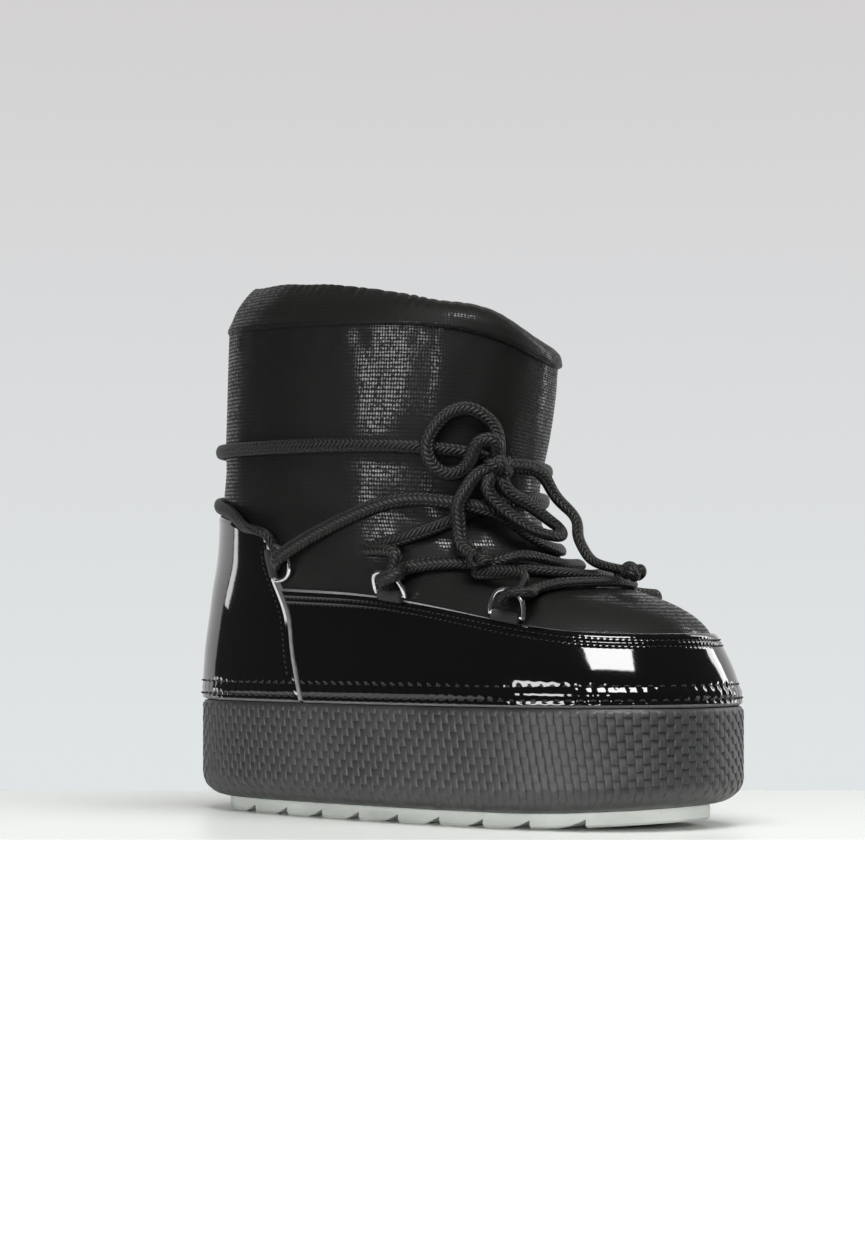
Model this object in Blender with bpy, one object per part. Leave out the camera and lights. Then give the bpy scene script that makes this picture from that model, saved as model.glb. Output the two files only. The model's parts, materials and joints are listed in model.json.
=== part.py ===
"""Apres ski boot: a low lace-up snow boot on a platform sole, a right shoe.

The frame has +X to the toe, +Y to the inner (medial) side, +Z up, and its
origin on the floor under the middle of the sole. Lengths are in metres.
"""
import math

import bmesh
import bpy
import numpy as np
from mathutils import Matrix, Vector

# Driving sizes
SOLE_LENGTH = 0.280
BALL_WIDTH = 0.116
SOLE_TOP = 0.052
COLLAR_BACK = 0.172
COLLAR_FRONT = 0.166
COLLAR_DIP = 0.0128
COLLAR_DIP_SHARE = 0.14
INNER_DIP_SHARE = 0.38
UPPER_WALL = 0.003
PATENT_THICKNESS = 0.0016
COUNTER_THICKNESS = 0.0022
GAP = 0.0003

# Sole
OUTSOLE_INSET = 0.0136
OUTSOLE_THICKNESS = 0.0066
LUG_DEPTH = 0.0036
LUG_PITCH = 0.0240
LUG_SCOOP = 0.0110
LUG_COUNT = 9
FIRST_LUG = -0.0950
TOE_SPRING = 0.0045
SPRING_START = 0.19
WAIST_DEPTH = 0.003
INSOLE_THICKNESS = 0.005
INSOLE_DEPTH = 0.006
INSOLE_INSET = 0.0085

# Collar band
CUFF_HEIGHT = 0.0205
CUFF_OVERHANG = 0.0016
CUFF_DEPTH = 0.0110

# Rings and laces
RING_WIDTH = 0.0185
RING_REACH = 0.0125
RING_WIRE = 0.0022
RING_TILT = math.radians(36.0)
TAB_WIDTH = 0.0105
TAB_THICKNESS = 0.0009
LACE = 0.0054

# Mesh steps
AROUND_STEPS = 44
SOLE_STEPS = 60
RING_ARC_STEPS = 9
TAB_STEPS = 12
SMALL_TUBE_STEPS = 1
CORD_TUBE_STEPS = 2
NORMAL_STEP = 0.004
MM = 0.001

# Sections of the upper from the feather edge to the collar seam. Heights are
# shares of the collar's height, lengths are shares of the sole's length, and
# the half width is a share of the ball width.
SECTION_COLUMNS = (
    "up", "front_up", "back", "front", "half_width", "widest_at",
    "heel_width", "nose_power", "heel_power", "swing", "dip",
)
SECTIONS = (
    (0.000, 0.000, -0.4910, 0.4930, 0.488, 0.715, 0.820, 2.35, 2.80, 0.0220, 0.00),
    (0.046, 0.047, -0.4908, 0.4850, 0.485, 0.712, 0.820, 2.34, 2.75, 0.0220, 0.00),
    (0.092, 0.096, -0.4892, 0.4755, 0.477, 0.705, 0.830, 2.30, 2.70, 0.0215, 0.00),
    (0.150, 0.151, -0.4875, 0.4625, 0.462, 0.690, 0.845, 2.25, 2.60, 0.0200, 0.00),
    (0.207, 0.204, -0.4830, 0.4480, 0.446, 0.660, 0.865, 2.20, 2.50, 0.0175, 0.00),
    (0.259, 0.252, -0.4765, 0.4130, 0.434, 0.620, 0.890, 2.12, 2.45, 0.0145, 0.00),
    (0.310, 0.296, -0.4680, 0.3450, 0.429, 0.580, 0.920, 2.05, 2.40, 0.0110, 0.00),
    (0.362, 0.337, -0.4575, 0.2560, 0.430, 0.550, 0.950, 2.00, 2.30, 0.0075, 0.00),
    (0.414, 0.382, -0.4490, 0.1960, 0.437, 0.530, 0.970, 2.00, 2.25, 0.0040, 0.00),
    (0.471, 0.437, -0.4430, 0.1640, 0.447, 0.515, 0.990, 2.00, 2.20, 0.0015, 0.00),
    (0.540, 0.509, -0.4405, 0.1440, 0.459, 0.505, 1.000, 2.05, 2.20, 0.0000, 0.02),
    (0.621, 0.605, -0.4365, 0.1410, 0.471, 0.500, 1.000, 2.10, 2.20, 0.0000, 0.10),
    (0.736, 0.729, -0.4310, 0.1530, 0.480, 0.500, 1.000, 2.15, 2.20, 0.0000, 0.35),
    (0.874, 0.889, -0.4255, 0.1655, 0.483, 0.500, 1.000, 2.20, 2.25, 0.0000, 0.70),
    (1.000, 1.000, -0.4225, 0.1715, 0.483, 0.500, 1.000, 2.20, 2.25, 0.0000, 1.00),
)

# Levels at which the upper is meshed, as shares of the back height
UPPER_LEVELS = (
    0.0, 0.046, 0.092, 0.150, 0.207, 0.259, 0.310, 0.362, 0.414, 0.471,
    0.540, 0.621, 0.736, 0.874, 1.0,
)

# Outline of the sole, in the same columns, and where its waist is drawn in, as
# shares of the sole's length from the middle.
SOLE_SHAPE = {
    "widest_at": 0.713, "nose_power": 2.35, "heel_power": 2.80,
    "heel_width": 0.82, "swing": 0.0222,
}
WAIST_PLACE = -0.08
WAIST_SHARE = 0.13

# Side of the midsole: height as a share from its underside to its top, and
# inset from the sole's outline in metres.
MIDSOLE_SIDE = (
    (0.00, 0.0125),
    (0.02, 0.0078),
    (0.07, 0.0040),
    (0.14, 0.0016),
    (0.25, 0.0002),
    (0.94, 0.0000),
    (1.00, 0.0009),
)

# Top edge of the patent mudguard: share around the boot from the toe (0) to
# the heel (1) and height as a share of the collar's back height.
MUDGUARD_TOP = (
    (0.00, 0.188),
    (0.12, 0.186),
    (0.18, 0.190),
    (0.25, 0.205),
    (0.32, 0.231),
    (0.39, 0.259),
    (0.47, 0.283),
    (0.57, 0.297),
    (0.67, 0.303),
)

# Patent heel counter: height as a share of the back height, and where its
# front edge stands around the boot at that height.
COUNTER_EDGE = (
    (0.000, 0.672),
    (0.140, 0.688),
    (0.280, 0.688),
    (0.360, 0.666),
    (0.425, 0.640),
)
COUNTER_TOP = (
    (0.640, 0.428),
    (0.720, 0.470),
    (0.820, 0.500),
    (1.000, 0.510),
)

# Rings for the lace: where each stands along the panel edge that holds it (a
# share around, or a level on the counter's front edge), and how far the lace
# leans towards the toe over and under the ring's bow, in degrees.
RINGS = {
    "rear": ("counter", 0.385, -95.0, -28.0),
    "middle": ("mudguard", 0.452, 63.0, 4.0),
    "front": ("mudguard", 0.284, 68.0, 12.0),
}

# The lace in a ring: which side of the bow, distance from the middle of the
# ring's opening and height over the upper, in metres.
RING_OPENING = 0.0046
RING_TURN = (
    ("over", 0.0108, 0.0118),
    ("over", 0.0060, 0.0138),
    ("over", 0.0018, 0.0124),
    ("under", 0.0000, 0.0086),
    ("under", 0.0018, 0.0054),
    ("under", 0.0066, 0.0038),
    ("under", 0.0125, 0.0038),
)

# The lace's runs on the boot, from ring to ring: height as a share of the
# back height, share around (minus is the outer side) and height of the lace's
# middle over the upper in metres. The run crosses over another where it lifts.
LOW = 0.0042
OVER = 0.0108
FRONT_BAR = (
    (0.290, 0.200, 0.0064), (0.317, 0.140, LOW), (0.327, 0.070, LOW),
    (0.330, 0.000, LOW), (0.327, -0.070, LOW), (0.317, -0.140, LOW),
    (0.290, -0.200, 0.0064),
)
FRONT_TO_MIDDLE_INNER = (
    (0.354, -0.222, 0.0056), (0.372, -0.152, OVER), (0.388, -0.088, 0.0092),
    (0.393, -0.015, LOW), (0.392, 0.060, LOW), (0.390, 0.140, LOW),
    (0.388, 0.217, LOW), (0.382, 0.287, LOW), (0.356, 0.350, 0.0092),
)
FRONT_TO_MIDDLE_OUTER = (
    (0.353, 0.216, LOW), (0.354, 0.140, LOW), (0.354, 0.050, LOW),
    (0.360, -0.060, LOW), (0.374, -0.125, LOW), (0.388, -0.200, LOW),
    (0.384, -0.287, LOW), (0.356, -0.350, 0.0092),
)
MIDDLE_TO_REAR_INNER = (
    (0.428, -0.382, LOW), (0.456, -0.310, LOW), (0.482, -0.247, LOW),
    (0.512, -0.187, LOW), (0.546, -0.130, LOW), (0.572, -0.060, LOW),
    (0.580, 0.030, LOW), (0.577, 0.130, LOW), (0.570, 0.230, LOW),
    (0.553, 0.307, LOW), (0.520, 0.390, LOW), (0.478, 0.470, LOW),
)
MIDDLE_TO_REAR_OUTER = (
    (0.424, 0.382, LOW), (0.437, 0.300, LOW), (0.440, 0.200, LOW),
    (0.440, 0.100, LOW), (0.448, 0.010, LOW), (0.476, -0.040, 0.0062),
    (0.518, -0.080, 0.0096), (0.547, -0.125, OVER), (0.562, -0.185, 0.0076),
    (0.566, -0.245, LOW), (0.555, -0.307, LOW), (0.530, -0.370, LOW),
    (0.493, -0.443, LOW),
)
REAR_TO_KNOT_INNER = (
    (0.484, 0.675, 0.0072), (0.520, 0.730, 0.0088), (0.568, 0.800, OVER),
    (0.625, 0.880, 0.0076), (0.665, 0.960, LOW), (0.677, 1.050, LOW),
    (0.680, 1.210, LOW), (0.685, 1.387, LOW), (0.690, 1.533, LOW),
    (0.693, 1.677, LOW), (0.690, 1.797, LOW), (0.682, 1.862, LOW),
    (0.674, 1.888, LOW),
)
REAR_TO_KNOT_OUTER = (
    (0.482, -0.675, 0.0066), (0.508, -0.725, 0.0046), (0.530, -0.810, LOW),
    (0.540, -0.900, LOW), (0.544, -1.000, LOW), (0.552, -1.120, LOW),
    (0.566, -1.230, LOW), (0.590, -1.400, LOW), (0.620, -1.600, LOW),
    (0.648, -1.800, LOW), (0.662, -1.920, LOW), (0.666, -1.985, LOW),
    (0.662, -2.040, LOW), (0.658, -2.072, LOW),
)

# Outline of the collar band's cross-section, from its lower outer corner up and
# over to its lower inner corner: reach outwards from the seam in front and at
# the back, as a share of the overhang or, inwards, of the depth, and rise as a
# share of the band's height.
CUFF_SECTION = (
    (1.00, 1.00, 0.00), (1.35, 0.60, 0.24), (0.80, -0.23, 0.52), (-0.17, -0.55, 0.80),
    (-0.57, -0.83, 0.97), (-0.86, -0.95, 0.98), (-1.00, -1.00, 0.82), (-0.81, -0.81, 0.55),
    (-0.54, -0.54, 0.28), (-0.45, -0.45, 0.00),
)

# Top of the collar band: share around the boot (plus is the inner side) and
# height over its seam as a share of the band's height.
CUFF_TOP = (
    (-1.00, 1.00), (-0.60, 1.00), (-0.50, 0.96), (-0.40, 0.85), (-0.30, 0.71),
    (-0.22, 0.63), (-0.15, 0.65), (-0.08, 0.68), (-0.03, 0.67), (0.03, 0.59),
    (0.10, 0.50), (0.20, 0.50), (0.30, 0.62), (0.45, 0.80), (0.70, 0.93), (1.00, 1.00),
)

# The knot's middle and half sizes along the boot, outwards and up
KNOT_PLACE = (0.662, -0.096, 0.0118)
KNOT_SIZE = (0.0078, 0.0046, 0.0066)
END_KNOT_SIZE = (0.0056, 0.0050, 0.0056)

# Bow: the same three columns as the lace's runs
LOOP_OUTER = (
    (0.728, -0.098, 0.0080), (0.758, -0.106, 0.0056), (0.782, -0.132, 0.0052),
    (0.792, -0.160, 0.0056), (0.780, -0.193, 0.0066), (0.742, -0.220, 0.0086),
    (0.700, -0.229, 0.0104), (0.655, -0.217, 0.0106), (0.630, -0.184, 0.0104),
    (0.643, -0.160, 0.0118), (0.682, -0.148, 0.0134), (0.722, -0.138, 0.0140),
    (0.728, -0.118, 0.0148),
)
LOOP_INNER = (
    (0.598, -0.082, 0.0156), (0.568, -0.058, 0.0166), (0.528, -0.030, 0.0174),
    (0.482, -0.008, 0.0176), (0.449, 0.004, 0.0176), (0.425, -0.010, 0.0174),
    (0.424, -0.036, 0.0174), (0.452, -0.056, 0.0174), (0.502, -0.078, 0.0172),
    (0.556, -0.100, 0.0162), (0.604, -0.116, 0.0148),
)
END_OUTER = (
    (0.634, -0.134, 0.0138), (0.592, -0.154, 0.0162), (0.548, -0.168, 0.0168),
    (0.505, -0.172, 0.0150), (0.462, -0.180, 0.0132), (0.425, -0.190, 0.0130),
    (0.404, -0.195, 0.0134),
)
END_OUTER_KNOT = (0.352, -0.217, 0.0142)
END_INNER = (
    (0.670, -0.055, 0.0124), (0.668, -0.030, 0.0134), (0.644, -0.004, 0.0160),
    (0.596, 0.012, 0.0190), (0.545, 0.022, 0.0230), (0.492, 0.028, 0.0250),
    (0.445, 0.028, 0.0246), (0.410, 0.024, 0.0206), (0.383, 0.018, 0.0150),
    (0.366, 0.014, 0.0112), (0.352, 0.010, 0.0104),
)
END_INNER_KNOT = (0.318, 0.004, 0.0120)

# Colours and finish of each piece: red, green, blue, roughness, metallic
FINISHES = {
    "outsole": (0.62, 0.64, 0.65, 0.60, 0.0),
    "midsole": (0.075, 0.080, 0.085, 0.55, 0.0),
    "insole": (0.02, 0.02, 0.02, 0.90, 0.0),
    "upper": (0.012, 0.012, 0.013, 0.55, 0.0),
    "cuff": (0.010, 0.010, 0.010, 0.80, 0.0),
    "patent": (0.004, 0.004, 0.005, 0.08, 0.0),
    "metal": (0.80, 0.80, 0.82, 0.18, 1.0),
    "webbing": (0.015, 0.015, 0.016, 0.60, 0.0),
    "lace": (0.014, 0.014, 0.014, 0.70, 0.0),
}


# Curves and surfaces of the boot


def spline_rows(knots, rows, at):
    """Natural cubic spline through the rows, read at the given places."""
    knots = np.asarray(knots, float)
    rows = np.asarray(rows, float)
    at = np.atleast_1d(np.asarray(at, float))
    count = len(knots)
    step = np.diff(knots)
    matrix = np.zeros((count, count))
    right = np.zeros(rows.shape)
    matrix[0, 0] = matrix[-1, -1] = 1.0
    for i in range(1, count - 1):
        matrix[i, i - 1:i + 2] = (step[i - 1], 2.0 * (step[i - 1] + step[i]), step[i])
        rise = (rows[i + 1] - rows[i]) / step[i] - (rows[i] - rows[i - 1]) / step[i - 1]
        right[i] = 6.0 * rise
    bend = np.linalg.solve(matrix, right)
    k = np.clip(np.searchsorted(knots, at) - 1, 0, count - 2)
    t = (at - knots[k])[:, None]
    h = step[k][:, None]
    slope = (rows[k + 1] - rows[k]) / h - h * (2.0 * bend[k] + bend[k + 1]) / 6.0
    return rows[k] + t * slope + t**2 * bend[k] / 2.0 + t**3 * (bend[k + 1] - bend[k]) / (6.0 * h)


def smooth_path(points, steps):
    """Even points on the smooth curve through the route's own points."""
    points = np.asarray(points, float)
    length = np.concatenate([[0.0], np.cumsum(np.linalg.norm(np.diff(points, axis=0), axis=1))])
    return spline_rows(length, points, np.linspace(0.0, length[-1], steps + 1))


def egg_half(length_back, length_front, half_width, section, side, steps=160):
    """One side of a rounded outline from its front to its back."""
    angle = np.linspace(0.0, math.pi, steps)
    cosine, sine = np.cos(angle), np.sin(angle)
    middle = length_back + section["widest_at"] * (length_front - length_back)
    reach = np.where(cosine > 0, length_front - middle, middle - length_back)
    power = np.where(cosine > 0, section["nose_power"], section["heel_power"])
    x = middle + reach * np.sign(cosine) * np.abs(cosine) ** (2.0 / power)
    y = half_width * np.abs(sine) ** (2.0 / power)
    rear = np.clip((middle - x) / (middle - length_back), 0.0, 1.0)
    y = y * (1.0 - (1.0 - section["heel_width"]) * rear * rear * (3.0 - 2.0 * rear))
    nose = np.clip((x - middle) / (length_front - middle), 0.0, 1.0)
    return x, side * y + section["swing"] * SOLE_LENGTH * nose**2


def upper_ring(up, arounds):
    """Points of the upper's outer face at one level.

    A share around of 0 is the toe, 1 the heel, plus the inner side.
    """
    knots = [row[0] for row in SECTIONS]
    values = spline_rows(knots, [row[1:] for row in SECTIONS], up)[0]
    section = dict(zip(SECTION_COLUMNS[1:], values))
    back, front = section["back"] * SOLE_LENGTH, section["front"] * SOLE_LENGTH
    z_back = SOLE_TOP + GAP + up * COLLAR_BACK
    z_front = SOLE_TOP + GAP + section["front_up"] * COLLAR_FRONT
    arounds = (np.atleast_1d(arounds) + 1.0) % 2.0 - 1.0
    points = np.zeros((len(arounds), 3))
    for side in (1, -1):
        x, y = egg_half(back, front, section["half_width"] * BALL_WIDTH, section, side)
        z = z_back + (z_front - z_back) * (x - back) / (front - back)
        line = np.column_stack([x, y, z])
        length = np.concatenate([[0.0], np.cumsum(np.linalg.norm(np.diff(line, axis=0), axis=1))])
        here = (arounds >= 0) if side > 0 else (arounds < 0)
        for axis in range(3):
            points[here, axis] = np.interp(np.abs(arounds[here]), length / length[-1], line[:, axis])
    dip = section["dip"] * COLLAR_DIP
    spread = np.where(arounds > 0, INNER_DIP_SHARE, COLLAR_DIP_SHARE)
    points[:, 2] -= dip * np.exp(-((arounds / spread) ** 2))
    return points


def upper_grid():
    """The upper's mesh stations: levels, shares around, points and normals."""
    levels = np.array(UPPER_LEVELS)
    arounds = -1.0 + 2.0 * np.arange(AROUND_STEPS + 1) / AROUND_STEPS
    points = np.array([upper_ring(up, arounds) for up in levels])
    normals = np.zeros_like(points)
    for i, up in enumerate(levels):
        low, high = max(up - NORMAL_STEP, 0.0), min(up + NORMAL_STEP, 1.0)
        rise = upper_ring(high, arounds) - upper_ring(low, arounds)
        run = upper_ring(up, arounds + NORMAL_STEP) - upper_ring(up, arounds - NORMAL_STEP)
        normal = np.cross(run, rise)
        normals[i] = normal / np.linalg.norm(normal, axis=1, keepdims=True)
    for edge in (0, -1):
        normals[edge, :, 2] = 0.0
        normals[edge] /= np.linalg.norm(normals[edge], axis=1, keepdims=True)
    return levels, arounds, points, normals


LEVELS, AROUNDS, GRID_POINTS, GRID_NORMALS = upper_grid()


def on_upper(up, around, lift=0.0):
    """Point at a lift above the upper's own facets, and the normal there."""
    around = (around + 1.0) % 2.0 - 1.0
    i = int(np.clip(np.searchsorted(LEVELS, up) - 1, 0, len(LEVELS) - 2))
    j = int(np.clip(np.searchsorted(AROUNDS, around) - 1, 0, len(AROUNDS) - 2))
    s = (up - LEVELS[i]) / (LEVELS[i + 1] - LEVELS[i])
    t = (around - AROUNDS[j]) / (AROUNDS[j + 1] - AROUNDS[j])
    mixed = []
    for grid in (GRID_POINTS, GRID_NORMALS):
        low = grid[i, j] * (1.0 - t) + grid[i, j + 1] * t
        high = grid[i + 1, j] * (1.0 - t) + grid[i + 1, j + 1] * t
        mixed.append(low * (1.0 - s) + high * s)
    point, normal = mixed
    return point + normal * lift, normal / np.linalg.norm(normal)


def sole_outline(inset):
    """Closed outline of the sole, drawn in by an inset, from the toe round."""
    half = SOLE_LENGTH / 2.0 - inset
    steps = SOLE_STEPS // 2
    sides = []
    for side in (1, -1):
        width = BALL_WIDTH / 2.0 - inset
        x, y = egg_half(-half, half, width, SOLE_SHAPE, side, steps + 1)
        if side > 0:
            waist = (x / SOLE_LENGTH - WAIST_PLACE) / WAIST_SHARE
            y = y - WAIST_DEPTH * np.exp(-(waist**2))
        sides.append(np.column_stack([x, y]))
    return np.concatenate([sides[0], sides[1][-2:0:-1]])


def toe_spring(x):
    """Height of the tread above the floor at a place along the sole."""
    start = SPRING_START * SOLE_LENGTH
    rise = max(0.0, (x - start) / (SOLE_LENGTH / 2.0 - start))
    return TOE_SPRING * rise * rise


# Meshes


def new_object(name, mesh, finish, smooth=40.0):
    mesh.shade_smooth()
    mesh.set_sharp_from_angle(angle=math.radians(smooth))
    obj = bpy.data.objects.new(name, mesh)
    obj.data.materials.append(material(finish))
    parts.objects.link(obj)
    return obj


def material(finish):
    found = bpy.data.materials.get(finish)
    if found:
        return found
    red, green, blue, roughness, metallic = FINISHES[finish]
    made = bpy.data.materials.new(finish)
    made.use_nodes = True
    shader = made.node_tree.nodes["Principled BSDF"]
    shader.inputs["Base Color"].default_value = (red, green, blue, 1.0)
    shader.inputs["Roughness"].default_value = roughness
    shader.inputs["Metallic"].default_value = metallic
    made.diffuse_color = (red, green, blue, 1.0)
    return made


def finish_mesh(name, bm):
    bmesh.ops.remove_doubles(bm, verts=bm.verts, dist=1e-6)
    bmesh.ops.recalc_face_normals(bm, faces=bm.faces)
    mesh = bpy.data.meshes.new(name)
    bm.to_mesh(mesh)
    bm.free()
    return mesh


def shell_mesh(name, outer, inner, closed_around):
    """A wall between two grids of points, closed at its edges."""
    bm = bmesh.new()
    rows, columns = len(outer), len(outer[0])
    face = [[bm.verts.new(p) for p in row] for row in outer]
    back = [[bm.verts.new(p) for p in row] for row in inner]
    last = columns if closed_around else columns - 1
    for j in range(last):
        k = (j + 1) % columns
        for i in range(rows - 1):
            bm.faces.new((face[i][j], face[i][k], face[i + 1][k], face[i + 1][j]))
            bm.faces.new((back[i][j], back[i + 1][j], back[i + 1][k], back[i][k]))
        bm.faces.new((face[0][j], back[0][j], back[0][k], face[0][k]))
        bm.faces.new((face[-1][j], face[-1][k], back[-1][k], back[-1][j]))
    if not closed_around:
        for i in range(rows - 1):
            bm.faces.new((face[i][0], face[i + 1][0], back[i + 1][0], back[i][0]))
            bm.faces.new((face[i][-1], back[i][-1], back[i + 1][-1], face[i + 1][-1]))
    return finish_mesh(name, bm)


def stacked_mesh(name, rings):
    """A solid of rings of equal count, capped with strips from side to side."""
    bm = bmesh.new()
    loops = [[bm.verts.new(p) for p in ring] for ring in rings]
    count = len(rings[0])
    for low, high in zip(loops, loops[1:]):
        for j in range(count):
            k = (j + 1) % count
            bm.faces.new((low[j], low[k], high[k], high[j]))
    for loop in (loops[0], loops[-1]):
        bm.faces.new((loop[0], loop[1], loop[-1]))
        for j in range(1, count // 2 - 1):
            bm.faces.new((loop[j], loop[j + 1], loop[count - j - 1], loop[count - j]))
        middle = count // 2
        bm.faces.new((loop[middle - 1], loop[middle], loop[middle + 1]))
    return finish_mesh(name, bm)


def curve_tube(name, points, radius, sides, finish, cyclic=False):
    curve = bpy.data.curves.new(name, "CURVE")
    curve.dimensions = "3D"
    curve.bevel_depth = radius
    curve.bevel_resolution = sides
    curve.use_fill_caps = True
    spline = curve.splines.new("POLY")
    spline.points.add(len(points) - 1)
    for slot, point in zip(spline.points, points):
        slot.co = (*point, 1.0)
    spline.use_cyclic_u = cyclic
    obj = bpy.data.objects.new(name, curve)
    obj.data.materials.append(material(finish))
    parts.objects.link(obj)
    return obj


def blob(name, centre, axes, half_sizes, finish):
    """A rounded knot: a sphere stretched along its own three axes."""
    bm = bmesh.new()
    bmesh.ops.create_uvsphere(bm, u_segments=12, v_segments=8, radius=1.0)
    columns = [list(axis * size) for axis, size in zip(axes, half_sizes)]
    turn = Matrix(columns).transposed()
    for vert in bm.verts:
        vert.co = Vector(centre) + turn @ vert.co
    return new_object(name, finish_mesh(name, bm), finish, smooth=80.0)


# Sole


def sole_ring(inset, share=None, height=None):
    """A ring of the sole: at a share of the midsole's side, or a set height."""
    ring = []
    for x, y in sole_outline(inset):
        low = OUTSOLE_THICKNESS + toe_spring(x)
        z = low + share * (SOLE_TOP - low) if share is not None else height(x)
        ring.append((x, y, z))
    return ring


def make_outsole():
    rings = [
        sole_ring(OUTSOLE_INSET + MM, height=toe_spring),
        sole_ring(OUTSOLE_INSET, height=lambda x: toe_spring(x) + MM),
        sole_ring(OUTSOLE_INSET, height=lambda x: toe_spring(x) + OUTSOLE_THICKNESS - GAP),
    ]
    tread = new_object("outsole", stacked_mesh("outsole", rings), "outsole")
    tool = bmesh.new()
    for index in range(LUG_COUNT):
        wall = FIRST_LUG + index * LUG_PITCH
        base = toe_spring(wall)
        profile = [(wall, base - 0.002), (wall, base + LUG_DEPTH)]
        for share in (0.25, 0.5, 0.75, 1.0):
            depth = LUG_DEPTH * (1.0 - share) ** 1.6 * (1.0 - share * 0.1)
            profile.append((wall - share * LUG_SCOOP, base + depth - 0.0002 * share))
        profile.append((wall - LUG_SCOOP, base - 0.002))
        ends = []
        for y in (-BALL_WIDTH, BALL_WIDTH):
            ends.append([tool.verts.new((x, y, z)) for x, z in profile])
        count = len(profile)
        for j in range(count):
            k = (j + 1) % count
            tool.faces.new((ends[0][j], ends[0][k], ends[1][k], ends[1][j]))
        tool.faces.new(ends[0])
        tool.faces.new(ends[1])
    cutter = bpy.data.objects.new("tread_scoops", finish_mesh("tread_scoops", tool))
    cutters.objects.link(cutter)
    cutter.hide_render = True
    cutter.display_type = "WIRE"
    cut = tread.modifiers.new("scoops", "BOOLEAN")
    cut.operation = "DIFFERENCE"
    cut.solver = "EXACT"
    cut.object = cutter


def make_midsole():
    rings = [sole_ring(inset, share=share) for share, inset in MIDSOLE_SIDE]
    floor = SOLE_TOP - INSOLE_DEPTH
    rings.append(sole_ring(INSOLE_INSET, height=lambda x: SOLE_TOP))
    rings.append(sole_ring(INSOLE_INSET, height=lambda x: floor))
    new_object("midsole", stacked_mesh("midsole", rings), "midsole")


def make_insole():
    floor = SOLE_TOP - INSOLE_DEPTH + GAP
    inset = INSOLE_INSET + GAP
    rings = [
        sole_ring(inset, height=lambda x: floor),
        sole_ring(inset, height=lambda x: floor + INSOLE_THICKNESS),
    ]
    new_object("insole", stacked_mesh("insole", rings), "insole")


# Upper and what is sewn on it


def make_upper():
    outer = GRID_POINTS[:, :-1]
    inner = outer - GRID_NORMALS[:, :-1] * UPPER_WALL
    new_object("upper", shell_mesh("upper", outer, inner, True), "upper", 60.0)


def edge_at(level):
    """Share around of the counter's front edge at a level."""
    ups, shares = zip(*COUNTER_EDGE)
    return float(np.interp(level, ups, shares))


def patch(name, levels, spans, top, thickness, finish):
    """A panel on the upper's facets.

    Its columns are the upper's own stations inside each level's span, and
    its rows stop at the panel's top edge.
    """
    outer, inner = [], []
    stations = sorted({float(a) for low, high in spans for a in all_stations(low, high)})
    for level, (low, high) in zip(levels, spans):
        front, back = [], []
        for station in stations:
            around = min(max(station, low), high)
            up = min(level, top(around))
            front.append(on_upper(up, around, GAP + thickness)[0])
            back.append(on_upper(up, around, GAP)[0])
        outer.append(front)
        inner.append(back)
    new_object(name, shell_mesh(name, outer, inner, False), finish, 50.0)


def all_stations(low, high):
    step = 2.0 / AROUND_STEPS
    first = math.ceil(low / step - 1e-9)
    last = math.floor(high / step + 1e-9)
    return [low, *[k * step for k in range(first, last + 1)], high]


def make_mudguard():
    highest = MUDGUARD_TOP[-1][1]
    levels = [level for level in UPPER_LEVELS if level < highest] + [highest]
    clear = 2.5 * GAP / SOLE_LENGTH
    spans = [(-edge_at(level) + clear, edge_at(level) - clear) for level in levels]
    patch("mudguard", levels, spans, mudguard_top, PATENT_THICKNESS, "patent")


def make_heel_counter():
    shares, heights = zip(*COUNTER_TOP)

    def top(around):
        from_toe = 1.0 - abs(around - 1.0)
        return float(np.interp(from_toe, shares, heights))

    levels = [level for level in UPPER_LEVELS if level < max(heights)] + [max(heights)]
    clear = 2.5 * GAP / SOLE_LENGTH
    spans = [(edge_at(level) + clear, 2.0 - edge_at(level) - clear) for level in levels]
    patch("heel_counter", levels, spans, top, COUNTER_THICKNESS, "patent")


def make_cuff():
    """The gathered collar band, which stands on the upper and leans inwards."""
    rows = []
    base, normals = GRID_POINTS[-1, :-1], GRID_NORMALS[-1, :-1]
    for around, point, normal in zip(AROUNDS[:-1], base, normals):
        out = np.array([normal[0], normal[1], 0.0])
        out = out / np.linalg.norm(out)
        height = CUFF_HEIGHT * float(np.interp(around, *zip(*CUFF_TOP)))
        front = float(np.interp(abs(around), (0.15, 0.50), (1.0, 0.0)))
        row = []
        for front_reach, back_reach, rise in CUFF_SECTION:
            reach = back_reach + (front_reach - back_reach) * front
            place = point + out * reach * (CUFF_OVERHANG if reach > 0.0 else CUFF_DEPTH)
            row.append(place + np.array([0.0, 0.0, GAP + rise * height]))
        rows.append(row)
    bm = bmesh.new()
    loops = [[bm.verts.new(p) for p in row] for row in rows]
    count = len(CUFF_SECTION)
    for here, there in zip(loops, loops[1:] + loops[:1]):
        for j in range(count):
            k = (j + 1) % count
            bm.faces.new((here[j], here[k], there[k], there[j]))
    new_object("cuff", finish_mesh("cuff", bm), "cuff", 60.0)


# Rings, tabs and laces


def mudguard_top(around):
    """Height of the mudguard's top edge, as a share of the back height."""
    shares, heights = zip(*MUDGUARD_TOP)
    return float(np.interp(abs(around), shares, heights))


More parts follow.
